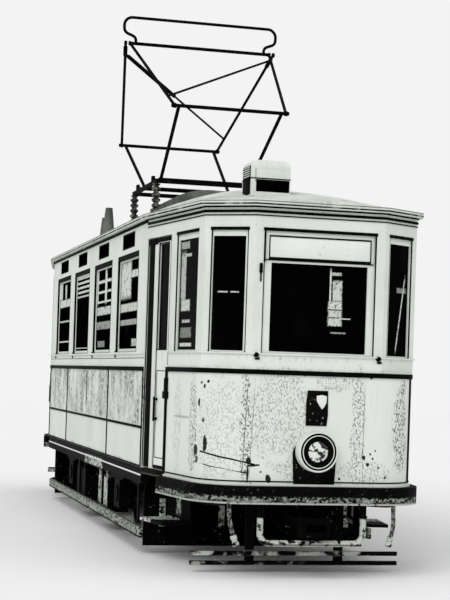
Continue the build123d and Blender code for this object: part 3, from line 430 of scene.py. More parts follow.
def markMask(place, marks, rag=0.5, grain=38.0, square=False):
    # stains and knocks: each mark is a middle, half sizes, a turn about X in degrees and a strength
    tree = place.id_data
    rough = addNode(tree, "TexNoise", Scale=grain, Detail=5, Vector=place)
    edge = addNode(tree, "Math", operation="MULTIPLY_ADD", n0=rough.outputs["Fac"], n1=2 * rag, n2=-rag)
    total = 0.0
    for middle, reach, turn, strength in marks:
        spot = addNode(tree, "Mapping", vector_type="TEXTURE", Location=middle, Scale=reach,
                       Rotation=(math.radians(turn), 0, 0), Vector=place).outputs["Vector"]
        if square:  # a block with straight sides in place of a round spot
            whole = addNode(tree, "VectorMath", operation="ABSOLUTE", n0=spot)
            split = addNode(tree, "SeparateXYZ", Vector=whole.outputs["Vector"]).outputs
            wide = addNode(tree, "Math", operation="MAXIMUM", n0=split["X"], n1=split["Y"])
            far = addNode(tree, "Math", operation="MAXIMUM", n0=wide.outputs[0], n1=split["Z"])
        else:
            far = addNode(tree, "VectorMath", operation="LENGTH", n0=spot)
        reached = addNode(tree, "Math", operation="ADD", n0=far.outputs["Value"], n1=edge.outputs[0])
        soft = addNode(tree, "MapRange", From_Min=1.1, From_Max=0.85, To_Max=strength,
                       Value=reached.outputs[0])
        total = addNode(tree, "Math", operation="MAXIMUM", n0=total, n1=soft.outputs[0]).outputs[0]
    return total


def mixColour(mask, below, above):  # below and above: a colour code or a socket
    below, above = [toLinear(value) if isinstance(value, str) else value for value in (below, above)]
    return addNode(mask.id_data, "Mix", data_type="RGBA", n0=mask, n6=below, n7=above).outputs[2]


def alikeEnds(place):  # turns the rear half round to the front, so that both ends share their marks
    tree = place.id_data
    split = addNode(tree, "SeparateXYZ", Vector=place).outputs
    turn = addNode(tree, "Math", operation="SIGN", n0=split["X"]).outputs[0]
    x = addNode(tree, "Math", operation="ABSOLUTE", n0=split["X"]).outputs[0]
    return addNode(tree, "CombineXYZ", X=x, Y=times(split["Y"], turn), Z=split["Z"]).outputs[0]


# brushed oil paint over timber and steel: a pale satin skin, streaked by rain, with dark chips
def agedPaint(name, colour, faded, streaks, grime="#2f322e", zones=(), fields=None, marks=(), chips=0.9,
              chipScale=26.0):
    material, place = startMaterial(name, 0.5, gloss=0.3)
    height = addNode(place.id_data, "SeparateXYZ", Vector=place).outputs["Z"]
    colour = mixColour(noiseMask(place, 1.7, 0.35, 0.7), colour, faded)
    # rain streaks, about 25 mm apart and a metre long
    rain = noiseMask(place, 9.0, 0.5, 0.78, stretch=(4, 4, 0.35), detail=5)
    broad = noiseMask(place, 2.3, 0.4, 0.7, shift=(3, 1, 0))
    colour = mixColour(times(rain, broad, streaks), colour, "#7d827b")
    for low, high, strength, fine, start in zones:  # grime that belongs to one height of the wall
        spots = noiseMask(place, fine, start, start + 0.07, stretch=(1.3, 1.3, 0.7), detail=9)
        clouds = noiseMask(place, 3.6, 0.4, 0.62, stretch=(1, 1, 0.6), shift=(5, 3, 2))
        zone = times(between(height, low, high, 0.012), spots, clouds, strength)
        colour = mixColour(zone, colour, grime)
    if fields:  # speckled fields and dark marks, alike at both ends
        here = alikeEnds(place)
        specks = noiseMask(here, 62.0, 0.5, 0.57, stretch=(1.2, 1.2, 0.8), detail=9)
        colour = mixColour(times(markMask(here, fields, rag=0.6, grain=7.0), specks), colour, "#343833")
        colour = mixColour(markMask(here, marks), colour, "#080908")
    flakes = noiseMask(place, chipScale, 0.68, 0.7, detail=6)
    flakes = times(flakes, noiseMask(place, 3.1, 0.5, 0.6, shift=(7, 2, 5)), chips)
    colour = mixColour(flakes, colour, "#121310")
    return finishMaterial(material, colour, noiseMask(place, 60.0, 0.2, 0.8, stretch=(1, 1, 0.3)), 0.12)


# chassis black on rolled steel: near black and dull, with paler rubs where it is touched or road dust lies
def chassisBlack(name, colour, faded, rubs, rubbed="#9a9d96", rubScale=34.0, lips=(), patches=(),
                 alike=False):
    material, place = startMaterial(name, 0.65, gloss=0.03)
    colour = mixColour(noiseMask(place, 5.0, 0.35, 0.7), colour, faded)
    worn = noiseMask(place, rubScale, 0.62, 0.7, detail=7)
    worn = times(worn, noiseMask(place, 4.0, 0.45, 0.6, shift=(2, 9, 4)), rubs)
    colour = mixColour(worn, colour, rubbed)
    here = alikeEnds(place) if alike else place
    split = addNode(place.id_data, "SeparateXYZ", Vector=here).outputs
    for low, high, strength, fine, start in lips:  # pale worn stretches at given heights
        worn = noiseMask(place, fine, start, start + 0.07, stretch=(0.6, 1, 1.3), detail=9, shift=(1, 5, 2))
        colour = mixColour(times(between(split["Z"], low, high, 0.005), worn, strength), colour, rubbed)
    for low, high, foot, head in patches:  # old pale paint left between two places along the car
        worn = noiseMask(place, 30.0, 0.44, 0.52, stretch=(0.7, 1, 1), detail=9)
        patch = times(between(split["X"], low, high, 0.03), between(split["Z"], foot, head, 0.008), worn)
        colour = mixColour(patch, colour, rubbed)
    return finishMaterial(material, colour, noiseMask(place, 45.0, 0.2, 0.8))


# float glass with street dust, painted black as the shade of the dark car behind it, with pale blocks of
# painted reflection and daylight in it
def glassPaintedShadeAndLight(name, dust, gloss, blocks=None, alike=False, broken=1.0):
    material, place = startMaterial(name, 0.05, ior=1.45, gloss=gloss)
    film = noiseMask(place, 3.0, 0.5, 0.85, stretch=(1, 1, 0.5), detail=8)
    colour = mixColour(times(film, film, dust), "#010101", "#8e948e")
    if blocks:
        here = alikeEnds(place) if alike else place
        pale = markMask(here, blocks, rag=0.22, grain=60.0, square=True)
        gaps = noiseMask(here, broken, 0.33, 0.45, stretch=(1.3, 1.3, 1), detail=9)
        colour = mixColour(times(pale, gaps), colour, "#cfd5cd")
    return finishMaterial(material, colour)


# two tones of one substance: a skin that its making or its dirt has clouded; the noises are as in noiseMask
def cloudedSkin(name, roughness, tones, noise, relief=None, strength=0.2, **surface):
    material, place = startMaterial(name, roughness, **surface)
    height = noiseMask(place, *relief) if relief else None
    return finishMaterial(material, mixColour(noiseMask(place, *noise), *tones), height, strength)


# painted roof canvas: a coarse weave under many coats, dull and sooty by the pantograph, dark at its gutter
def paintedCanvas(name):
    material, place = startMaterial(name, 0.8, gloss=0.2)
    height = addNode(place.id_data, "SeparateXYZ", Vector=place).outputs["Z"]
    colour = mixColour(noiseMask(place, 2.2, 0.3, 0.75), "#dde3db", "#c6ccc4")
    soot = times(noiseMask(place, 9.0, 0.45, 0.7, detail=8), noiseMask(place, 1.1, 0.4, 0.7), 0.7)
    colour = mixColour(soot, colour, "#4c504b")
    for low, high, strength in ((2.827, 2.84, 1.0), (2.852, 2.86, 0.75)):  # gutter lines
        line = times(between(height, low, high, 0.002), noiseMask(place, 6.0, 0.25, 0.45, detail=6), strength)
        colour = mixColour(line, colour, "#0a0b0a")
    weave = noiseMask(place, 420.0, 0.3, 0.7)  # drawn coarser than 1 mm so that it shows
    return finishMaterial(material, colour, weave, 0.15, 0.0006)


def mark(y, z, wide, tall, turn=0, strength=1, x=car["front"]):  # a mark on the flat front
    return (x, y, z), (0.1, wide, tall), turn, strength


def cornerMark(turn, z, wide, tall, strength=1):  # a mark on the dash's round corner
    return (*onDash(turn, 0, -1), z), (wide, wide, tall), 0, strength


# painted reflection: a pale block of the street reflected in a side window
def reflectionBlock(low, high, foot, head, strength=1):  # a pale block in the side windows, alike on both sides
    return ((low + high) / 2, 0, (foot + head) / 2), ((high - low) / 2, 2, (head - foot) / 2), 0, strength


# knocks and smears on the dash's corner, then on its flat: place, half sizes, turn, strength
dashMarks = [cornerMark(*row) for row in (
    (70, 1.32, 0.016, 0.032), (60, 1.448, 0.012, 0.018), (66, 1.475, 0.014, 0.01), (54, 1.485, 0.014, 0.012),
    (57, 1.01, 0.022, 0.062), (75, 0.955, 0.03, 0.045), (72, 0.89, 0.02, 0.03, 0.9),
    (61, 1.19, 0.014, 0.02, 0.9),
)] + [mark(*row) for row in (
    (-0.523, 0.8, 0.009, 0.075, 0, 1, 4.245), (-0.485, 0.862, 0.055, 0.009, 4, 1, 4.245),
    (-0.52, 0.9, 0.022, 0.03, 0, 1, 4.245), (-0.5, 0.715, 0.012, 0.02, 0, 1, 4.245),
    (-0.36, 0.765, 0.02, 0.035, 8),
    (-0.42, 0.815, 0.008, 0.008), (0.44, 1.55, 0.011, 0.011), (-0.096, 1.555, 0.011, 0.011),
    (0.397, 0.935, 0.014, 0.02), (0.43, 0.885, 0.012, 0.013), (0.45, 0.965, 0.008, 0.01),
    (0.47, 0.93, 0.008, 0.01),
    (0.49, 0.99, 0.007, 0.009), (0.517, 0.861, 0.008, 0.009, 0, 0.9), (0.576, 0.785, 0.01, 0.011, 0, 1, 4.24),
    (0.204, 0.771, 0.009, 0.011), (-0.553, 1.12, 0.0045, 0.4, -2, 0.6, 4.24),
    (-0.498, 1.12, 0.004, 0.4, -2, 0.45, 4.24),
    (0.39, 1.1, 0.003, 0.42, 0, 0.5),
)] + [((3.7, -0.985, 1.2), (0.2, 0.2, 0.012), 0, 0.4)]
# speckled fields of the dash: middle, half sizes, turn, strength
dashFields = [
    ((*onDash(86, 0, -1), 1.14), (0.075, 0.06, 0.44), 0, 0.85),
    ((4.25, 0.345, 1.15), (0.12, 0.055, 0.46), 0, 0.7),
    ((4.1, 0.69, 1.12), (0.17, 0.085, 0.44), 0, 1.0), ((4.25, -0.28, 1.25), (0.2, 0.28, 0.34), 0, 0.5),
    ((4.12, -0.72, 1.1), (0.22, 0.2, 0.42), 0, 0.35), ((4.25, -0.55, 1.1), (0.15, 0.05, 0.48), 0, 0.85),
    ((4.25, -0.1, 0.85), (0.2, 0.2, 0.12), 0, 0.5), ((4.25, 0.42, 0.82), (0.2, 0.22, 0.1), 0, 0.45),
    ((3.6, -0.98, 1.15), (0.1, 0.12, 0.42), 0, 0.35), ((4.25, 0.15, 1.5), (0.2, 0.2, 0.06), 0, 0.5),
]
# painted reflections of the street in each side window, counted from the front: from and to along the car,
# foot, head, strength
paintedStreetReflections = [reflectionBlock(*row) for row in (
    (1.5, 1.98, 2.2, 2.53), (1.95, 2.4, 2.375, 2.44), (1.5, 2.4, 2.075, 2.15, 0.9),
    (1.5, 2.4, 1.955, 2.005, 0.6),
    (2.07, 2.4, 1.765, 1.83, 0.8),
    (0.64, 0.75, 2.2, 2.53), (0.2, 0.27, 2.2, 2.53), (0.2, 1.1, 2.4, 2.43), (0.2, 1.1, 2.3, 2.325),
    (0.2, 1.1, 2.205, 2.225), (0.2, 1.1, 2.085, 2.165, 0.9), (0.2, 1.1, 1.945, 2.02, 0.5),
    (0.3, 0.7, 1.77, 1.83, 0.4),
    (-1.1, -0.2, 2.505, 2.535), (-1.1, -0.2, 2.455, 2.48), (-1.1, -0.2, 2.405, 2.43),
    (-1.1, -0.2, 2.355, 2.38, 0.9),
    (-1.1, -0.2, 2.31, 2.33, 0.8), (-1.1, -0.2, 1.765, 1.775, 0.9),
    (-2.4, -2.2, 2.34, 2.53), (-2.4, -1.5, 2.25, 2.335), (-2.0, -1.88, 2.34, 2.5, 0.9),
    (-2.4, -1.5, 2.075, 2.095, 0.8),
    (-2.4, -1.5, 1.845, 1.862, 0.9),
)]
# painted daylight through the platform: a blind by the door, a rail, a far window, frames on the other side
paintedPlatformDaylight = [((taperX - a, -0.93, z), (wide, 0.1, tall), 0, strength) for a, z, wide, tall, strength in (
    (0.45, 2.55, 0.085, 0.028, 0.6), (0.475, 2.3, 0.05, 0.19, 0.7), (0.4, 2.47, 0.08, 0.012, 0.8),
    (0.42, 2.075, 0.09, 0.045, 0.9), (0.4, 1.95, 0.08, 0.012, 0.7), (0.4, 1.86, 0.11, 0.04, 0.35),
    (0.4, 1.765, 0.12, 0.014, 1),
)] + [mark(y, z, wide, tall, 0, strength) for y, z, wide, tall, strength in (
    (0.094, 2.24, 0.007, 0.125, 1), (0.15, 2.205, 0.038, 0.08, 0.9), (0.14, 2.335, 0.04, 0.012, 0.8),
    (0.135, 2.095, 0.055, 0.03, 1), (0.135, 2.03, 0.055, 0.026, 0.9), (0.135, 1.967, 0.055, 0.03, 0.9),
    (0.215, 1.995, 0.045, 0.005, 0.9), (0.165, 1.885, 0.06, 0.006, 0.5),
)] + [
    ((4.13, -0.72, 2.169), (0.2, 0.034, 0.006), 0, 0.8), ((4.16, -0.64, 2.169), (0.2, 0.028, 0.006), 0, 0.8),
    ((taperX - 0.1, 0.9, 2.2), (0.2, 0.006, 0.3), -12, 0.7), ((4.1, 0.72, 2.24), (0.2, 0.05, 0.02), 0, 0.4),
    ((4.1, 0.715, 2.05), (0.2, 0.006, 0.28), -8, 0.9),
]

# zones and lips: low, high, strength, scale and threshold of their noise; patches: from, to, foot, head
sidePaint = agedPaint("agedCreamPaintSides",
    colour="#dfe5de", faded="#d3d9d1", streaks=0.22, grime="#1f221e",
    zones=((1.095, 1.56, 1.0, 36.0, 0.47), (1.095, 1.56, 0.4, 8.0, 0.5), (0.74, 0.765, 0.8, 14.0, 0.45)),
)
endPaint = agedPaint("agedCreamPaintEnds",
    colour="#dfe5de", faded="#d9dfd7", streaks=0.25, fields=dashFields, marks=dashMarks,
    zones=((0.69, 0.73, 0.6, 22.0, 0.5), (1.58, 1.6, 0.35, 14.0, 0.5), (1.66, 1.705, 0.85, 17.0, 0.56)),
)
trimPaint = agedPaint("agedCreamPaintTrim",
    colour="#dce2db", faded="#cfd5cd", streaks=0.3, chips=1.0, chipScale=38.0,
)
palePlate = agedPaint("enamelledPlate", colour="#e4e9e3", faded="#d8ddd6", streaks=0.2, chips=0.6)
blackPaint = chassisBlack("chassisBlackPaint", colour="#020202", faded="#070807", rubs=0.3)
# black for real mouldings, and for the black lines and channels that are painted shade in recesses and gaps
blackTrimAndShade = chassisBlack("blackMouldingAndPaintedShade", colour="#020202", faded="#070807", rubs=0.1)
# undergear black, darkened over its black paint as painted shade under the car
deepBlack = chassisBlack("undergearBlackAndPaintedShade", colour="#010101", faded="#040404", rubs=0.4, rubScale=22.0)
soleBarPaint = chassisBlack("soleBarBlackPaint",
    colour="#020202", faded="#060706", rubs=0.3, rubbed="#b9bfb6", patches=((-0.12, 0.92, 0.6, 0.69),),
)
# the pale lips low on the bumper are wear and painted highlight of its lower half and bottom edge
bumperPaint = chassisBlack("scuffedBumperPaintAndHighlight",
    colour="#030303", faded="#080908", rubs=0.6, rubbed="#aeb4ab", rubScale=46.0,
    lips=((0.59, 0.632, 0.6, 34.0, 0.5), (0.59, 0.62, 0.4, 9.0, 0.5), (0.572, 0.588, 1.0, 24.0, 0.36)),
)
plateBlack = chassisBlack("flakingPlateBlack",
    colour="#050505", faded="#0d0e0c", rubs=0.9, rubScale=30.0, rubbed="#c3c8c0",
)
# cast and wrought iron below the bumper: black, with pale dust and old paint low down
ironGuard = chassisBlack("dustyGuardIron",
    colour="#030303", faded="#080807", rubs=0.5, rubbed="#c2c8bf",
    lips=((0.27, 0.468, 0.9, 20.0, 0.42), (0.236, 0.262, 0.8, 20.0, 0.4)),
)
slatTimber = chassisBlack("wornSlatTimber",
    colour="#030303", faded="#080908", rubs=0.3, rubbed="#bcc2b9",
    lips=((0.13, 0.17, 0.9, 5.0, 0.5), (0.056, 0.092, 0.6, 6.0, 0.57)),
)
sideGuardPaint = chassisBlack("wornSideGuardPaint",
    colour="#030303", faded="#080908", rubs=0.5, rubbed="#b4bab1",
    lips=((0.16, 0.235, 0.75, 30.0, 0.44), (0.16, 0.2, 0.5, 7.0, 0.5)),
)
boxPaint = chassisBlack("weatheredBoxPaint",  # the front box of each side keeps its pale paint on its face
    colour="#030303", faded="#080807", rubs=0.4, rubbed="#c2c8bf",
    patches=((0.43, 0.905, 0.235, 0.6), (0.43, 0.905, 0.25, 0.5), (0.5, 0.8, 0.3, 0.52)),
)
stepTimber = chassisBlack("wornStepTimber",  # paint is left on the half of the tread that feet miss
    colour="#030303", faded="#0a0a09", rubs=0.4, rubbed="#ccd2ca", alike=True,
    patches=((2.7, 3.06, 0.3, 0.335), (2.75, 3.0, 0.3, 0.335), (3.0, 3.07, 0.37, 0.58)),
)
# rolled tin of the roof's deck and pots: grey where the paint has gone, sooty in spots
roofTin = chassisBlack("weatheredRoofTin", colour="#4b504a", faded="#747a72", rubs=0.8, rubbed="#1a1c19")
windowGlass = glassPaintedShadeAndLight("dustyWindowGlass",
    dust=0.05, gloss=0.01, blocks=paintedPlatformDaylight, alike=True, broken=46.0,
)
sideGlass = glassPaintedShadeAndLight("streetSideWindowGlass",
    dust=0.06, gloss=0.0, blocks=paintedStreetReflections, alike=False, broken=15.0,
)
# vent and sign lamp glass: a little dust over black that is painted shade of the dark inside
ventGlass = glassPaintedShadeAndLight("dirtyVentGlassPaintedShade", dust=0.02, gloss=0.0)
roofCanvas = paintedCanvas("paintedRoofCanvas")
# ash and pine boards: long grain, scrubbed dull on the floor and varnished on the seats
grain = (24.0, 0.3, 0.7, (0.15, 3, 3), 8)
floorTimber = cloudedSkin("scrubbedFloorTimber", 0.75, ("#4a4134", "#2b241b"), grain, grain, 0.15)
seatTimber = cloudedSkin("varnishedSeatTimber", 0.35, ("#8a5f35", "#573819"), grain, grain, 0.15)
# turned steel tread and axle: a brown film that shines where it rolls
wheelSteel = cloudedSkin("rolledWheelSteel", 0.4, ("#26251f", "#0c0b09"), (18.0, 0.35, 0.7), metallic=0.85)
# moulded brake rubber: matt, ribbed by its cloth wrap, with pale patches that are painted highlights
hoseRubber = cloudedSkin("wrappedBrakeHoseRubberWithHighlights", 0.7, ("#0c0c0b", "#8f948c"), (40.0, 0.45, 0.6),
                         (160.0, 0.3, 0.7, (1, 1, 4)), 0.4, gloss=0.3)
# brown glazed porcelain of the insulators: glossy, nearly black with soot, paler where rain has washed it
porcelain = cloudedSkin("glazedPorcelain", 0.15, ("#120f0c", "#6f726b"), (22.0, 0.5, 0.62))
# pressed lamp glass in front of a tin reflector: pale, with dark blotches of dirt
lensGlass = cloudedSkin("blotchedLampGlass", 0.12, ("#dde2db", "#0c0d0c"),
                        (21.0, 0.5, 0.53, (1, 1, 1.5), 3, (0.3, 0.1, 0.7)), gloss=0.5)
print("materials made")

# camera, at the photograph's viewing angle

view = {"place": (15.209, -3.56, 1.54), "azimuth": 0.2392, "pitch": 0.0015, "roll": 0.0329,
        "lens": 90.6, "shiftX": 0.0355, "shiftY": 0.1193}


def addCamera():
    v = view
    lens = bpy.data.cameras.new("streetCamera")
    lens.sensor_fit = "VERTICAL"
    lens.sensor_height = 36
    lens.lens = v["lens"]
    lens.shift_x = v["shiftX"]
    lens.shift_y = v["shiftY"]
    lens.clip_end = 200
    camera = bpy.data.objects.new("streetCamera", lens)
    bpy.context.scene.collection.objects.link(camera)
    ahead = Vector((-math.cos(v["azimuth"]), math.sin(v["azimuth"]), math.tan(v["pitch"]))).normalized()
    right = Vector((math.sin(v["azimuth"]), math.cos(v["azimuth"]), 0))
    level = Matrix((right, right.cross(ahead), -ahead)).transposed().to_4x4()
    camera.matrix_world = Matrix.Translation(v["place"]) @ level @ Matrix.Rotation(v["roll"], 4, "Z")
    bpy.context.scene.camera = camera


addCamera()
bpy.context.scene.view_settings.view_transform = "Standard"

# brake hoses: free cords that hang from the bumper, with a cast head on each; places are out, across and up

hose = {
    "back": 0.008, "radius": 0.017, "length": 0.27, "headReach": 0.034,
    "points": ((0, 0.655, 0.575), (0, 0.655, 0.495), (0.034, 0.65, 0.405), (0.04, 0.62, 0.314)),
    # gland nut, ferrule and cast head
    "head": [(0, -0.024), (0.021, -0.024), (0.025, -0.018), (0.025, 0.004), (0.02, 0.012), (0.02, 0.026),
             (0.026, 0.032), (0.026, 0.054), (0.019, 0.058), (0, 0.058)],
    "jaw": ((-0.02, -0.012, -0.01), (0.022, 0.012, 0.008)),
}


def addHoses():
    for end in ends:
        for side in sides:
            name = f"brakeHose{'Front' if end > 0 else 'Rear'}{'Left' if side > 0 else 'Right'}"
            rootX = end * (car["front"] - hose["back"])
            points = [(rootX + end * out, side * y, z) for out, y, z in hose["points"]]
            cord = drawLine(name, points, hose["radius"], 4)
            cord.data.materials.append(hoseRubber)
            # the head is in line with the hose's last run
            way = (Vector(points[-1]) - Vector(points[-2])).normalized()
            middle = Vector(points[-1]) + hose["headReach"] * way
            low, high = [middle + Vector(corner) for corner in hose["jaw"]]
            head = [addTurned("hoseHead", hose["head"], points[-1], way, 20), addBlock("jaw", low, high)]
            # the heads' pale rubs are wear and painted highlight
            head = dress(name + "Head", head, ironGuard)
            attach(cord, "car")
            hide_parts("brake_hoses")


addHoses()
print("hoses hung")

# finish on the solids that keep their shape

finishes = (
    (sidePaint, "side_panels side_pillars letterboards"), (endPaint, "dashes belt_rails"),
    (trimPaint, "end_headers end_posts sign_boxes"), (palePlate, "destination_boards"),
    (soleBarPaint, "sole_bars"),
    (deepBlack, "cross_members couplers truck_frames truck_beams axleboxes traction_motors brake_gear"),
    (floorTimber, "floors"), (seatTimber, "bulkheads bench_seats"), (windowGlass, "window_glass"),
    (roofCanvas, "roof"), (roofTin, "roof_fittings"), (bumperPaint, "bumpers"), (ironGuard, "guard_frames"),
    (slatTimber, "life_guards"), (wheelSteel, "wheelset_front wheelset_rear door_pivots"),
    (sideGuardPaint, "side_guards"), (boxPaint, "equipment_boxes"), (stepTimber, "entry_steps"),
    (blackPaint, "controllers hand_brakes panto_base panto_bow"),
    (blackPaint, "panto_lower_front panto_lower_rear panto_upper_front panto_upper_rear"),
    (endPaint, " ".join("door_" + corner[0] for corner in corners)),
    (trimPaint, " ".join("narrow_door_" + corner[0] for corner in corners)),
    (windowGlass, " ".join("door_glass_" + corner[0] for corner in corners)),
)
for finish, nodes in finishes:
    for node in nodes.split():
        solid = frame["nodes"][node]
        if not solid.material_slots:
            solid.data.materials.append(finish)
        for held in solid.material_slots:
            held.material = finish
print("solids painted")

# floor, backdrop and light: the backdrop shows to the camera, the sky lights the car

studio = {
    "floor": "#f5f5f5", "backdrop": "#f3f3f3", "sky": 0.62,
    # strength, softness and turn of each sun, in degrees
    "suns": {"softSun": (1.35, 40, (42, 28, 20)), "fillSun": (0.35, 60, (-40, 30, 0))},
}


def addStudio():
    choose()
    bpy.ops.mesh.primitive_plane_add(size=120, location=(0, 0, 0))
    ground = takeNew("studioFloor")
    paint = bpy.data.materials.new("studioFloorPaint")  # a plain pale floor that keeps the shadow
    paint.use_nodes = True
    shader = paint.node_tree.nodes["Principled BSDF"]
    shader.inputs["Base Color"].default_value = toLinear(studio["floor"])
    shader.inputs["Roughness"].default_value = 0.9
    shader.inputs["Specular IOR Level"].default_value = 0.0
    ground.data.materials.append(paint)
    world = bpy.data.worlds.new("studioSky")
    bpy.context.scene.world = world
    world.use_nodes = True
    tree = world.node_tree
    tree.nodes.clear()
    light = addNode(tree, "Background", Color=toLinear("#ffffff"), Strength=studio["sky"])
    seen = addNode(tree, "Background", Color=toLinear(studio["backdrop"]))
    path = addNode(tree, "LightPath").outputs
    shown = addNode(tree, "Math", operation="MAXIMUM",
                    n0=path["Is Camera Ray"], n1=path["Is Transmission Ray"])
    either = addNode(tree, "MixShader", n0=shown.outputs[0], n1=light.outputs[0], n2=seen.outputs[0])
    addNode(tree, "OutputWorld", Surface=either.outputs[0])
    for name, (strength, spread, turn) in studio["suns"].items():
        sun = bpy.data.lights.new(name, "SUN")
        sun.energy = strength
        sun.angle = math.radians(spread)
        lamp = bpy.data.objects.new(name, sun)
        lamp.rotation_euler = [math.radians(angle) for angle in turn]
        bpy.context.scene.collection.objects.link(lamp)


addStudio()
print("studio set")

# side windows: a black channel in each opening, painted shade of the recess at its head and jambs, then the
# drop sash and a pane with painted reflections of the street in it

sideWindow = {
    "centres": (-1.935, -0.645, 0.645, 1.935), "half": 0.5, "channel": 0.024, "foot": 0.004, "head": 0.045,
    "stile": 0.045, "topRail": 0.06, "bottomRail": 0.032, "corner": 0.028,
    "channelDepth": (-0.024, -0.001), "sashDepth": (-0.026, -0.018),
    "paneInset": 0.03, "paneFoot": 0.02, "paneHead": 0.05, "paneDepth": (-0.0262, -0.0252),
    # iron angle at the lower rear corner of the sill
    "angle": ((0, 0), (0.06, 0), (0.06, 0.014), (0.018, 0.014), (0.018, 0.06), (0, 0.06)),
    "anglePlace": (-0.504, 0.001, -0.045), "angleThick": 0.006,
}
windowSpots = [("side", 1, side, x) for side in sides for x in sideWindow["centres"]]


def addSideWindows():
    w = sideWindow
    half, low, high = w["half"], car["sill"], car["sideHead"]
    outer = (-half, half, low, high)
    inner = (w["channel"] - half, half - w["channel"], low + w["foot"], high - w["head"])
    inside = (w["stile"] - half, half - w["stile"], low + w["bottomRail"], high - w["topRail"])
    channel = addSash("channel", outer, inner, w["channelDepth"], soft=0)
    dress("sideWindowShadeChannels", setOnWalls(channel, windowSpots), blackTrimAndShade)
    sash = addSash("sash", inner, inside, w["sashDepth"], w["corner"])
    dress("sideWindowSashes", setOnWalls(sash, windowSpots), trimPaint, stands="window_sashes")
    left, face, foot = w["anglePlace"]
    outline = [(left + x, face, low + foot + z) for x, z in w["angle"]]
    angle = addPlate("angle", outline, (0, w["angleThick"], 0), 0.0015)
    dress("sillAngles", setOnWalls(angle, windowSpots), blackTrimAndShade)
    near, far = w["paneDepth"]
    side = half - w["paneInset"]
    pane = addBlock("pane", (-side, near, low + w["paneFoot"]), (side, far, high - w["paneHead"]), 0)
    startEditing(pane, whole=True)
    bpy.ops.mesh.subdivide(number_cuts=1)
    stopEditing()
    dress("sideWindowPanes", setOnWalls(pane, windowSpots), sideGlass)


# mouldings along the sides: low, high and how far out; battens by their middle

sideTrim = {
    "sillRail": (1.692, 1.71, 0.016),
    # the black line under the belt is a drip moulding whose black is also painted shade under the belt
    "lines": {"beltDrip": (1.548, 1.584, 0.012), "waistBead": (1.064, 1.086, 0.009),
              "gutterLine": (2.794, 2.814, 0.014), "panelFoot": (0.742, 0.756, 0.006)},
    "battens": (-1.43, 1.13, -2.78, 2.78), "battenHalf": 0.014,
    "thinBatten": ((-0.14, -0.002, 1.19), (-0.12, 0.003, 1.53), 0.001),
    "seamLine": ((-2.8, -0.002, 1.655), (2.8, 0.002, 1.66), 0.0008),
    "soleLine": ((-2.78, -0.006, 0.668), (2.78, -0.002, 0.682), 0.001),
}


def addSideTrim():
    t = sideTrim
    reach, half = car["pillarX"], t["battenHalf"]

    def addRail(name, low, high, out):
        return addBlock(name, (-reach, -0.002, low), (reach, out, high), 0.0025)

    lines = [addRail(name, *row) for name, row in t["lines"].items()]
    for x in t["battens"]:
        lines.append(addBlock("batten", (x - half, -0.002, 0.745), (x + half, 0.007, 1.555), 0.002))
    lines += [addBlock(name, *t[name]) for name in ("thinBatten", "seamLine")]
    rail = setOnWalls(addRail("sillRail", *t["sillRail"]), everyWall["side"])
    dress("sideSillRails", rail, trimPaint, stands="body_mouldings")
    lines = setOnWalls(lines, everyWall["side"])
    dress("sideMouldings", lines, blackTrimAndShade, stands="body_mouldings")
    line = setOnWalls(addBlock("soleLine", *t["soleLine"]), everyWall["side"])
    dress("soleBarLines", line, palePlate)


# ventilator lights over the windows: glass painted black as the shade inside, in a thin frame

ventLight = {"half": 0.29, "low": 2.635, "high": 2.775, "frame": 0.014, "lap": 0.006,
             "rimDepth": (-0.018, -0.002), "paneDepth": (-0.008, -0.003)}


def addVents():
    v = ventLight
    half, low, high, frame, lap = v["half"], v["low"], v["high"], v["frame"], v["lap"]
    inner = (frame - half, half - frame, low + frame, high - frame)
    rim = addSash("rim", (-half, half, low, high), inner, v["rimDepth"], lap, 0.002)
    near, far = v["paneDepth"]
    pane = addBlock("pane", (lap - half, near, low + lap), (half - lap, far, high - lap), 0.001)
    dress("ventFrames", setOnWalls(rim, windowSpots), blackTrimAndShade)
    dress("ventPanes", setOnWalls(pane, windowSpots), ventGlass)


addSideWindows()
addSideTrim()
addVents()
print("sides trimmed")

# end windows: sash in every opening, transom and blank sign panel over the windscreen

endWindow = {
    # wall, opening from and to, glass from and to, foot and head of the glass
    "sashes": (("facet", 0.052, facetLength - 0.052, 0.076, 0.336, 1.724, 2.593),
               ("taper", 0.12, 0.576, 0.146, 0.55, 1.724, 2.593),
               ("nose", -0.45, 0.45, -0.385, 0.385, 1.727, 2.398)),
    "channelDepth": (-0.024, -0.002), "sashDepth": (-0.026, -0.01),
    "sign": (-0.4, 0.4, 2.44, 2.594), "signBorder": (-0.408, 0.408, 2.422, 2.606),
    "signDepth": (-0.012, -0.004),
    "signPlate": ((-0.4, -0.011, 2.44), (0.4, -0.008, 2.594), 0.001),
    "signLines": {"edgeLeft": ((-0.451, -0.004, 2.4), (-0.437, 0.004, 2.655), 0.0015),
                  "edgeRight": ((0.437, -0.004, 2.42), (0.445, 0.004, 2.655), 0.0015),
                  "foot": ((-0.437, -0.008, 2.414), (0.43, -0.001, 2.422), 0.001)},
    # lugs at the feet of the middle posts, then the latch of the windscreen
    "lugY": 0.488, "lugZ": 1.697,
    "lug": [(0, 0), (0.019, 0), (0.019, 0.012), (0.012, 0.016), (0.012, 0.024), (0.018, 0.028),
            (0.014, 0.036), (0, 0.036)],
    "latch": {"screenLatch": ((-0.482, -0.002, 2.315), (-0.457, 0.014, 2.39), 0.006),
              "latchTail": ((-0.475, 0.0, 2.25), (-0.463, 0.008, 2.32), 0.003)},
}


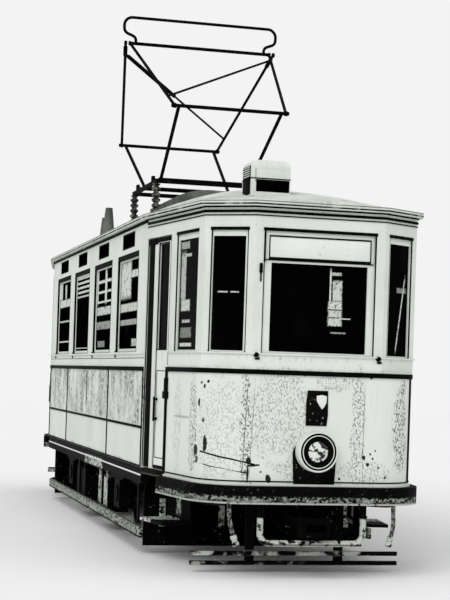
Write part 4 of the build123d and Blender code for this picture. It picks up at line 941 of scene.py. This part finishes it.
def addEndWindows():
    e = endWindow
    low, high = car["sill"], car["endHead"]
    sashes, channels = [], []
    for kind, first, last, inFirst, inLast, bottom, top in e["sashes"]:
        line = (first + 0.008, last - 0.008, low + 0.003, high - 0.016)
        # black rubber round each opening and a bar over its head, painted shade of the recess and under the
        # header
        rubber = addSash("rubber", (first, last, low, high), line, e["channelDepth"], soft=0)
        headShadeBarEnds = (first - 0.006, -0.003, high - 0.018), (last + 0.006, 0.005, high + 0.006)
        channels.append(setOnWalls([rubber, addBlock("bar", *headShadeBarEnds, 0.0015)], everyWall[kind]))
        sash = addSash("sash", line, (inFirst, inLast, bottom, top), e["sashDepth"], 0.006)
        sashes.append(setOnWalls(sash, everyWall[kind]))
    border = addSash("border", e["signBorder"], e["sign"], e["signDepth"], 0, 0.0015)
    channels.append(setOnWalls([border] + addBlocks(e["signLines"]), everyWall["nose"]))
    dress("endSashes", sashes, trimPaint, stands="window_sashes")
    dress("endShadeChannels", channels, blackTrimAndShade)
    plate = setOnWalls(addBlock("signPlate", *e["signPlate"]), everyWall["nose"])
    dress("signPlates", plate, palePlate)
    lugs = addBlocks(e["latch"])
    for y in (-e["lugY"], e["lugY"]):
        lugs.append(addTurned("postLug", e["lug"], (y, -0.004, e["lugZ"]), (0, 1, 0), 18))
        lugs.append(addBlock("lugTail", (y - 0.008, -0.002, 1.66), (y + 0.03, 0.008, 1.676)))
    dress("screenLugs", setOnWalls(lugs, everyWall["nose"]), blackTrimAndShade)


# lines round the ends: fascia beads, belt band and the dash's edges

endTrim = {
    # plan path, how far along the platform wall, distance out, low, high, thickness
    "pale": ((bodyPath, 0.69, 0.006, 1.7, 1.712, 0.016), (dashPath, 0.69, 0.008, 0.709, 0.726, 0.016)),
    # the dark band from 1.55 to 1.587 round the dash is painted shade under the belt
    "dark": ((bodyPath, None, 0.004, 2.77, 2.79, 0.012), (bodyPath, None, 0.003, 2.746, 2.755, 0.008),
             (bodyPath, None, 0.004, 2.808, 2.82, 0.01), (dashPath, 0.72, 0.004, 1.55, 1.587, 0.016),
             (dashPath, 0.69, 0.002, 0.738, 0.748, 0.009)),
    "seamTurns": (52, 56, 60),
    # doorGapShade and pillarGapShade are black strips of painted shade in the gaps at the door's front edge
    # and by the pillar
    "edges": {"doorGapShade": ((0.683, -0.002, 0.74), (0.722, 0.012, 1.56), 0.003),
              "hingeLeaf": ((0.655, 0.0, 1.33), (0.76, 0.018, 1.39), 0.006),
              "hingeStrap": ((0.668, 0.0, 1.38), (0.738, 0.016, 1.5), 0.006),
              "postLine": ((0.6975, -0.002, 1.6), (0.7035, 0.002, 2.65), 0.001),
              "pillarGapShade": ((1.212, -0.004, 0.76), (1.222, 0.003, 2.65), 0.001)},
    "threshold": ((0.69, -0.01, 0.706), (1.235, 0.006, 0.741), 0.003),
    # creases knocked into one corner of the dash, drawn as black lines for their scrapes and the painted
    # shade in the dents: radius, then turn round the corner and height
    "creases": ((0.007, ((64, 0.952), (50, 0.938), (37, 0.921), (25, 0.911), (10, 0.893), (-8, 0.868))),
                (0.005, ((78, 0.872), (60, 0.859), (47, 0.842), (30, 0.834), (12, 0.812), (2, 0.806)))),
}


def addEndTrim():
    t = endTrim
    bands = {"pale": [], "dark": []}
    creases = []
    for end in ends:
        for tone, rows in bands.items():
            for path, reach, out, low, high, thick in t[tone]:
                rows.append(addBand("band", path(out, end, reach), low, high, thick))
        # cover strip of the sheet's seam, at the right-hand corner as one faces it
        seam = [onDash(turn, 0.002, 1) for turn in t["seamTurns"]]
        bands["dark"].append(addBand("seamStrip", [(end * x, end * y) for x, y in seam], 0.745, 1.556, 0.008))
        for radius, path in t["creases"]:
            points = []
            for turn, z in path:  # past the corner the crease runs on along the flat
                x, y = onDash(max(turn, 0), 0, -1)
                points.append((end * x, end * (y - math.radians(min(turn, 0)) * car["dashCorner"]), z))
            creases.append(addPipe("crease", points, radius, 2))
    bands["dark"].append(setOnWalls(addBlocks(t["edges"]), everyWall["taper"]))
    dress("endPaleBeads", bands["pale"], trimPaint, stands="body_mouldings")
    dress("endDarkLines", bands["dark"], blackTrimAndShade, stands="body_mouldings")
    sill = setOnWalls(addBlock("threshold", *t["threshold"]), everyWall["taper"])
    dress("doorThresholds", sill, blackPaint)
    dress("dashCreasesAndShade", creases, blackTrimAndShade)


addEndWindows()
addEndTrim()
print("ends trimmed")

# doors: bead round the glass, groove round the panel, handle, kick plate, weather strips; the head strips and
# the narrow leaf's fold strip are black as painted shade under the header and in the gap by the pillar

doorTrim = {
    "bead": ((0.762, 0.993, 1.722, 2.603), (0.771, 0.984, 1.731, 2.594), (-0.016, -0.009), 0, 0.001),
    "groove": ((0.771, 0.984, 0.84, 1.557), (0.777, 0.978, 0.846, 1.551), (-0.019, -0.0165), 0, 0),
    "leaf": {"meetingStrip": ((0.986, -0.0135, 0.76), (0.998, -0.008, 2.64), 0.001),
             "doorHeadShade": ((0.714, -0.0135, 2.61), (1.017, -0.008, 2.646), 0.001),
             "kickStrip": ((0.724, -0.0135, 0.752), (0.987, -0.009, 0.782), 0.001)},
    "narrow": {"foldGapShade": ((1.098, -0.0145, 0.752), (1.208, -0.006, 2.6), 0.003),
               "narrowHeadShade": ((1.028, -0.0135, 2.596), (1.238, -0.008, 2.646), 0.001)},
    "handle": ((0.955, 0.012, 1.14), (0.955, 0.012, 1.34)), "handleRadius": 0.008,
    "stubs": ((0.955, -0.013, 1.16), (0.955, -0.013, 1.32)),
    "stub": [(0, 0), (0.014, 0), (0.014, 0.003), (0.007, 0.008), (0.007, 0.026), (0, 0.026)],
}


def addDoorTrim():
    d = doorTrim
    for corner, end, side in corners:
        spot = [("taper", end, side, 0)]
        start, finish = [Vector(place) for place in d["handle"]]
        iron = [addSash("bead", *d["bead"]), addSash("groove", *d["groove"])] + addBlocks(d["leaf"])
        iron.append(addRod("handle", start, finish, d["handleRadius"], 14, 0.002))
        iron += [addTurned("stub", d["stub"], place, (0, 1, 0), 14) for place in d["stubs"]]
        dress(f"doorIron_{corner}", setOnWalls(iron, spot), blackTrimAndShade, "door_" + corner)
        strips = setOnWalls(addBlocks(d["narrow"]), spot)
        dress(f"narrowDoorStrip_{corner}", strips, blackTrimAndShade, "narrow_door_" + corner)


addDoorTrim()
print("doors trimmed")

# under the floor: a plank screen before each pair of wheels with its hangers, black as painted shade under
# the car, and an air pipe on each side

underGear = {
    "screenX": 2.64, "reach": 0.98, "planks": 5, "low": 0.068, "high": 0.6, "half": 0.012, "gap": 0.001,
    "hangers": (-0.82, -0.3, 0.3, 0.82), "hangerHalf": 0.026, "hangerThick": 0.01,
    "bolt": boltHead(0.013, 0.006, 0.008, 0.01),
    "pipe": ((2.66, 0.7, 0.52), (3.3, 0.7, 0.52), (3.62, 0.66, 0.52), (4.15, 0.655, 0.565)),
    "pipeRadius": 0.019,
}


def addUnderGear():
    g = underGear
    planks, irons = [], []
    rise = (g["high"] - g["low"]) / g["planks"]
    for end in ends:
        x = end * g["screenX"]
        back = x + end * g["half"]
        front = back + end * g["hangerThick"]
        for i in range(g["planks"]):
            foot = g["low"] + i * rise
            planks.append(addBlock("plank", (x - g["half"], -g["reach"], foot),
                                   (x + g["half"], g["reach"], foot + rise - g["gap"])))
        for y in g["hangers"]:
            irons.append(addBlock("hanger", (back, y - g["hangerHalf"], g["low"] + 0.01),
                                  (front, y + g["hangerHalf"], g["high"]), 0.002))
            for i in range(g["planks"]):
                spot = (front, y, g["low"] + (i + 0.5) * rise)
                irons.append(addTurned("bolt", g["bolt"], spot, (end, 0, 0), 10))
        for side in sides:
            points = [(end * x, side * y, z) for x, y, z in g["pipe"]]
            irons.append(addPipe("airPipe", points, g["pipeRadius"], 3))
    dress("wheelShadeScreens", planks, deepBlack)
    dress("screenIrons", irons, ironGuard)


addUnderGear()
print("under gear hung")

# headlight: stepped bezel, black throat and a domed, blotched lens, over a black bracket whose black is
# partly painted shade under the lamp

lamp = {
    "x": 4.329, "z": 0.978, "wallX": car["front"] + 0.001, "bracketHalf": 0.175, "bracketFoot": 0.727,
    "bracketThick": 0.011, "boltY": 0.12, "boltZ": 0.76, "bolt": boltHead(0.016, 0.008, 0.01, 0.013),
    # dark plate over the lamp, with a plain pale shield on it: across and up
    "plate": ((-0.078, 1.172), (0.088, 1.172), (0.097, 1.26), (0.093, 1.44), (-0.07, 1.44), (-0.08, 1.33)),
    "shield": ((0.0, 1.4), (0.04, 1.408), (0.082, 1.4), (0.08, 1.35), (0.062, 1.315), (0.045, 1.298),
               (0.022, 1.33), (0.002, 1.362)), "plateThick": 0.006,
}
lampParts = (
    # piece, material, slot, solid that it stands for, steps round, and profiles of radius and height
    ("lampBezels", trimPaint, "cream_paint", "headlights", 48, (
        [(0, -0.082), (0.15, -0.082), (0.156, -0.074), (0.156, 0.002), (0.13, 0.005), (0, 0.005)],
        [(0.139, 0.0), (0.153, 0.0), (0.156, 0.01), (0.156, 0.021), (0.151, 0.029), (0.142, 0.029),
         (0.139, 0.02), (0.139, 0.0)],
        [(0.118, 0.012), (0.127, 0.012), (0.128, 0.024), (0.125, 0.03), (0.12, 0.03), (0.118, 0.024),
         (0.118, 0.012)])),
    ("lampThroats", blackTrimAndShade, "black_iron", None, 48, (
        [(0.126, 0.006), (0.141, 0.006), (0.141, 0.027), (0.127, 0.027), (0.126, 0.006)],
        [(0.078, 0.004), (0.119, 0.004), (0.119, 0.0275), (0.104, 0.027), (0.086, 0.021), (0.078, 0.016),
         (0.078, 0.004)])),
    ("lampLenses", lensGlass, "window_glass", "lamp_lenses", 40, (
        [(0.0, 0.0255), (0.03, 0.0245), (0.056, 0.0215), (0.074, 0.0165), (0.083, 0.01), (0.083, 0.004),
         (0.0, 0.004)],)),
)


def addHeadlights():
    for name, finish, slot, stands, steps, profiles in lampParts:
        parts = [addTurned(name, profile, (end * lamp["x"], 0, lamp["z"]), (end, 0, 0), steps)
                 for end in ends for profile in profiles]
        dress(name, parts, finish, stands=stands)
    brackets, shields = [], []
    half, foot = lamp["bracketHalf"], (0.93 * lamp["bracketHalf"], lamp["bracketFoot"])
    turns = [math.pi * i / 12 for i in range(13)]
    arch = [(half * math.cos(turn), lamp["z"] - 0.02 + 0.12 * math.sin(turn)) for turn in turns]
    bracket = [foot] + arch + [(-foot[0], foot[1])]
    for end in ends:
        x = end * lamp["wallX"]
        face, step = x + end * lamp["bracketThick"], end * lamp["plateThick"]
        brackets.append(addPlate("bracket", [(x, y, z) for y, z in bracket], (face - x, 0, 0), 0.003))
        for y in (-lamp["boltY"], lamp["boltY"]):
            brackets.append(addTurned("bolt", lamp["bolt"], (face, y, lamp["boltZ"]), (end, 0, 0), 12))
        plate = [(x, end * y, z) for y, z in lamp["plate"]]
        brackets.append(addPlate("plate", plate, (step, 0, 0), 0.002))
        shield = [(x + step, end * y, z) for y, z in lamp["shield"]]
        shields.append(addPlate("shield", shield, (step, 0, 0), 0.002))
    dress("lampBracketsAndShade", brackets, plateBlack)
    dress("blankShields", shields, palePlate)


addHeadlights()
print("headlights fitted")

# roof: glass, lid, drip line and flank louvres of the sign lamp

signLamp = {
    "face": 3.9, "back": 3.63, "y": (0.153, 0.474), "glassY": (0.163, 0.432), "glassZ": (2.972, 3.066),
    "lidZ": (3.03, 3.165), "dripZ": (3.07, 3.079), "plateX": (3.66, 3.875), "plateZ": (2.95, 3.175),
    "louvreX": (3.67, 3.865), "louvreFoot": 3.09, "louvrePitch": 0.0175, "louvres": 5,
}


def addSignLamps():
    r = signLamp
    glass, irons, pales = [], [], []
    for end in ends:

        def addPart(name, xSpan, ySpan, zSpan, soft):
            low, high = zip([end * x for x in xSpan], sorted(ySpan), zSpan)
            return addBlock(name, low, high, soft)

        face = r["face"]
        inner = [-end * y for y in r["glassY"]]
        outer = sorted(-end * y for y in r["y"])
        glass.append(addPart("glass", (face - 0.004, face + 0.002), inner, r["glassZ"], 0))
        pales.append(addPart("lid", (face - 0.014, face - 0.001), inner, r["lidZ"], 0.0008))
        irons.append(addPart("drip", (face - 0.002, face + 0.002), outer, r["dripZ"], 0.0008))
        for y, way in zip(outer, (-1, 1)):
            ySpan = (y - 0.002, y + 0.002)
            irons.append(addPart("dripSide", (r["back"], face), ySpan, r["dripZ"], 0.0015))
            irons.append(addPart("flankPlate", r["plateX"], ySpan, r["plateZ"], 0.001))
            for i in range(r["louvres"]):
                z = r["louvreFoot"] + i * r["louvrePitch"]
                pales.append(addPart("louvre", r["louvreX"], (y, y + way * 0.006), (z, z + 0.007), 0.0015))
    panes = gather("signGlass", glass)
    startEditing(panes, whole=True)
    bpy.ops.mesh.bevel(offset=0.001, segments=1)
    stopEditing()
    dress("signGlass", panes, ventGlass)
    dress("signIrons", irons, blackTrimAndShade)
    dress("signLouvres", pales, trimPaint)


# insulators: porcelain posts with sheds, radius and share of a shed's height

insulator = {"x": 0.56, "y": 0.532, "foot": 3.075, "top": 3.41, "radius": 0.0445, "topRadius": 0.03,
             "sheds": 6, "shed": ((0.0445, 0.2), (0.026, 0.42), (0.026, 0.6), (0.0435, 0.92))}


def addInsulators():
    n = insulator
    height = n["top"] - n["foot"]
    rise = height / n["sheds"]
    sheds = [(radius, (i + share) * rise) for i in range(n["sheds"]) for radius, share in n["shed"]]
    profile = [(0, 0), (n["radius"], 0)] + sheds + [(n["topRadius"], height), (0, height)]
    posts = [addTurned("post", profile, (x, y, n["foot"]), (0, 0, 1), 20)
             for x in (-n["x"], n["x"]) for y in (-n["y"], n["y"])]
    dress("insulatorSheds", posts, porcelain, stands="panto_insulators")


# pantograph: spring tubes on the rear frame's arms and brace, nuts on the knee pins

linkage = {
    "kneeX": 1.35, "kneeZ": 4.052, "rise": 0.845, "armY": 0.545, "topHalf": 0.785,
    # shares of an arm where the brace meets it, shares of the brace and of the arm that the tubes cover
    "brace": (0.14, 0.9), "braceTube": (0.52, 0.975), "armTube": (0.885, 0.965), "tubeRadius": (0.021, 0.022),
    "nut": boltHead(0.021, 0.01, 0.016, 0.016), "nutY": 0.5605,
}


def rearArm(share, side):  # a point on an upper arm of the rear frame, as a share of its length
    g = linkage
    return Vector((g["kneeX"] * (share - 1), side * (g["armY"] + share * (g["topHalf"] - g["armY"])),
                   g["kneeZ"] + share * g["rise"]))


def addLinkageTrim():
    g = linkage
    low, high = rearArm(g["brace"][0], 1), rearArm(g["brace"][1], -1)
    foot, head = [low.lerp(high, share) for share in g["braceTube"]]
    tubes = [addRod("braceTube", foot, head, g["tubeRadius"][0], 18, 0.006)]
    for side in sides:
        foot, head = [rearArm(share, side) for share in g["armTube"]]
        tubes.append(addRod("armTube", foot, head, g["tubeRadius"][1], 18, 0.006))
    dress("pantoSpringTubes", tubes, blackPaint, "panto_upper_rear")
    for name, end in (("Front", 1), ("Rear", -1)):
        nuts = [addTurned("nut", g["nut"], (end * g["kneeX"], side * g["nutY"], g["kneeZ"]), (0, side, 0), 6)
                for side in sides]
        dress("kneeNuts_" + name, nuts, blackPaint, "panto_lower_" + name.lower(), smooth=20)


addSignLamps()
addInsulators()
addLinkageTrim()
print("roof fitted")
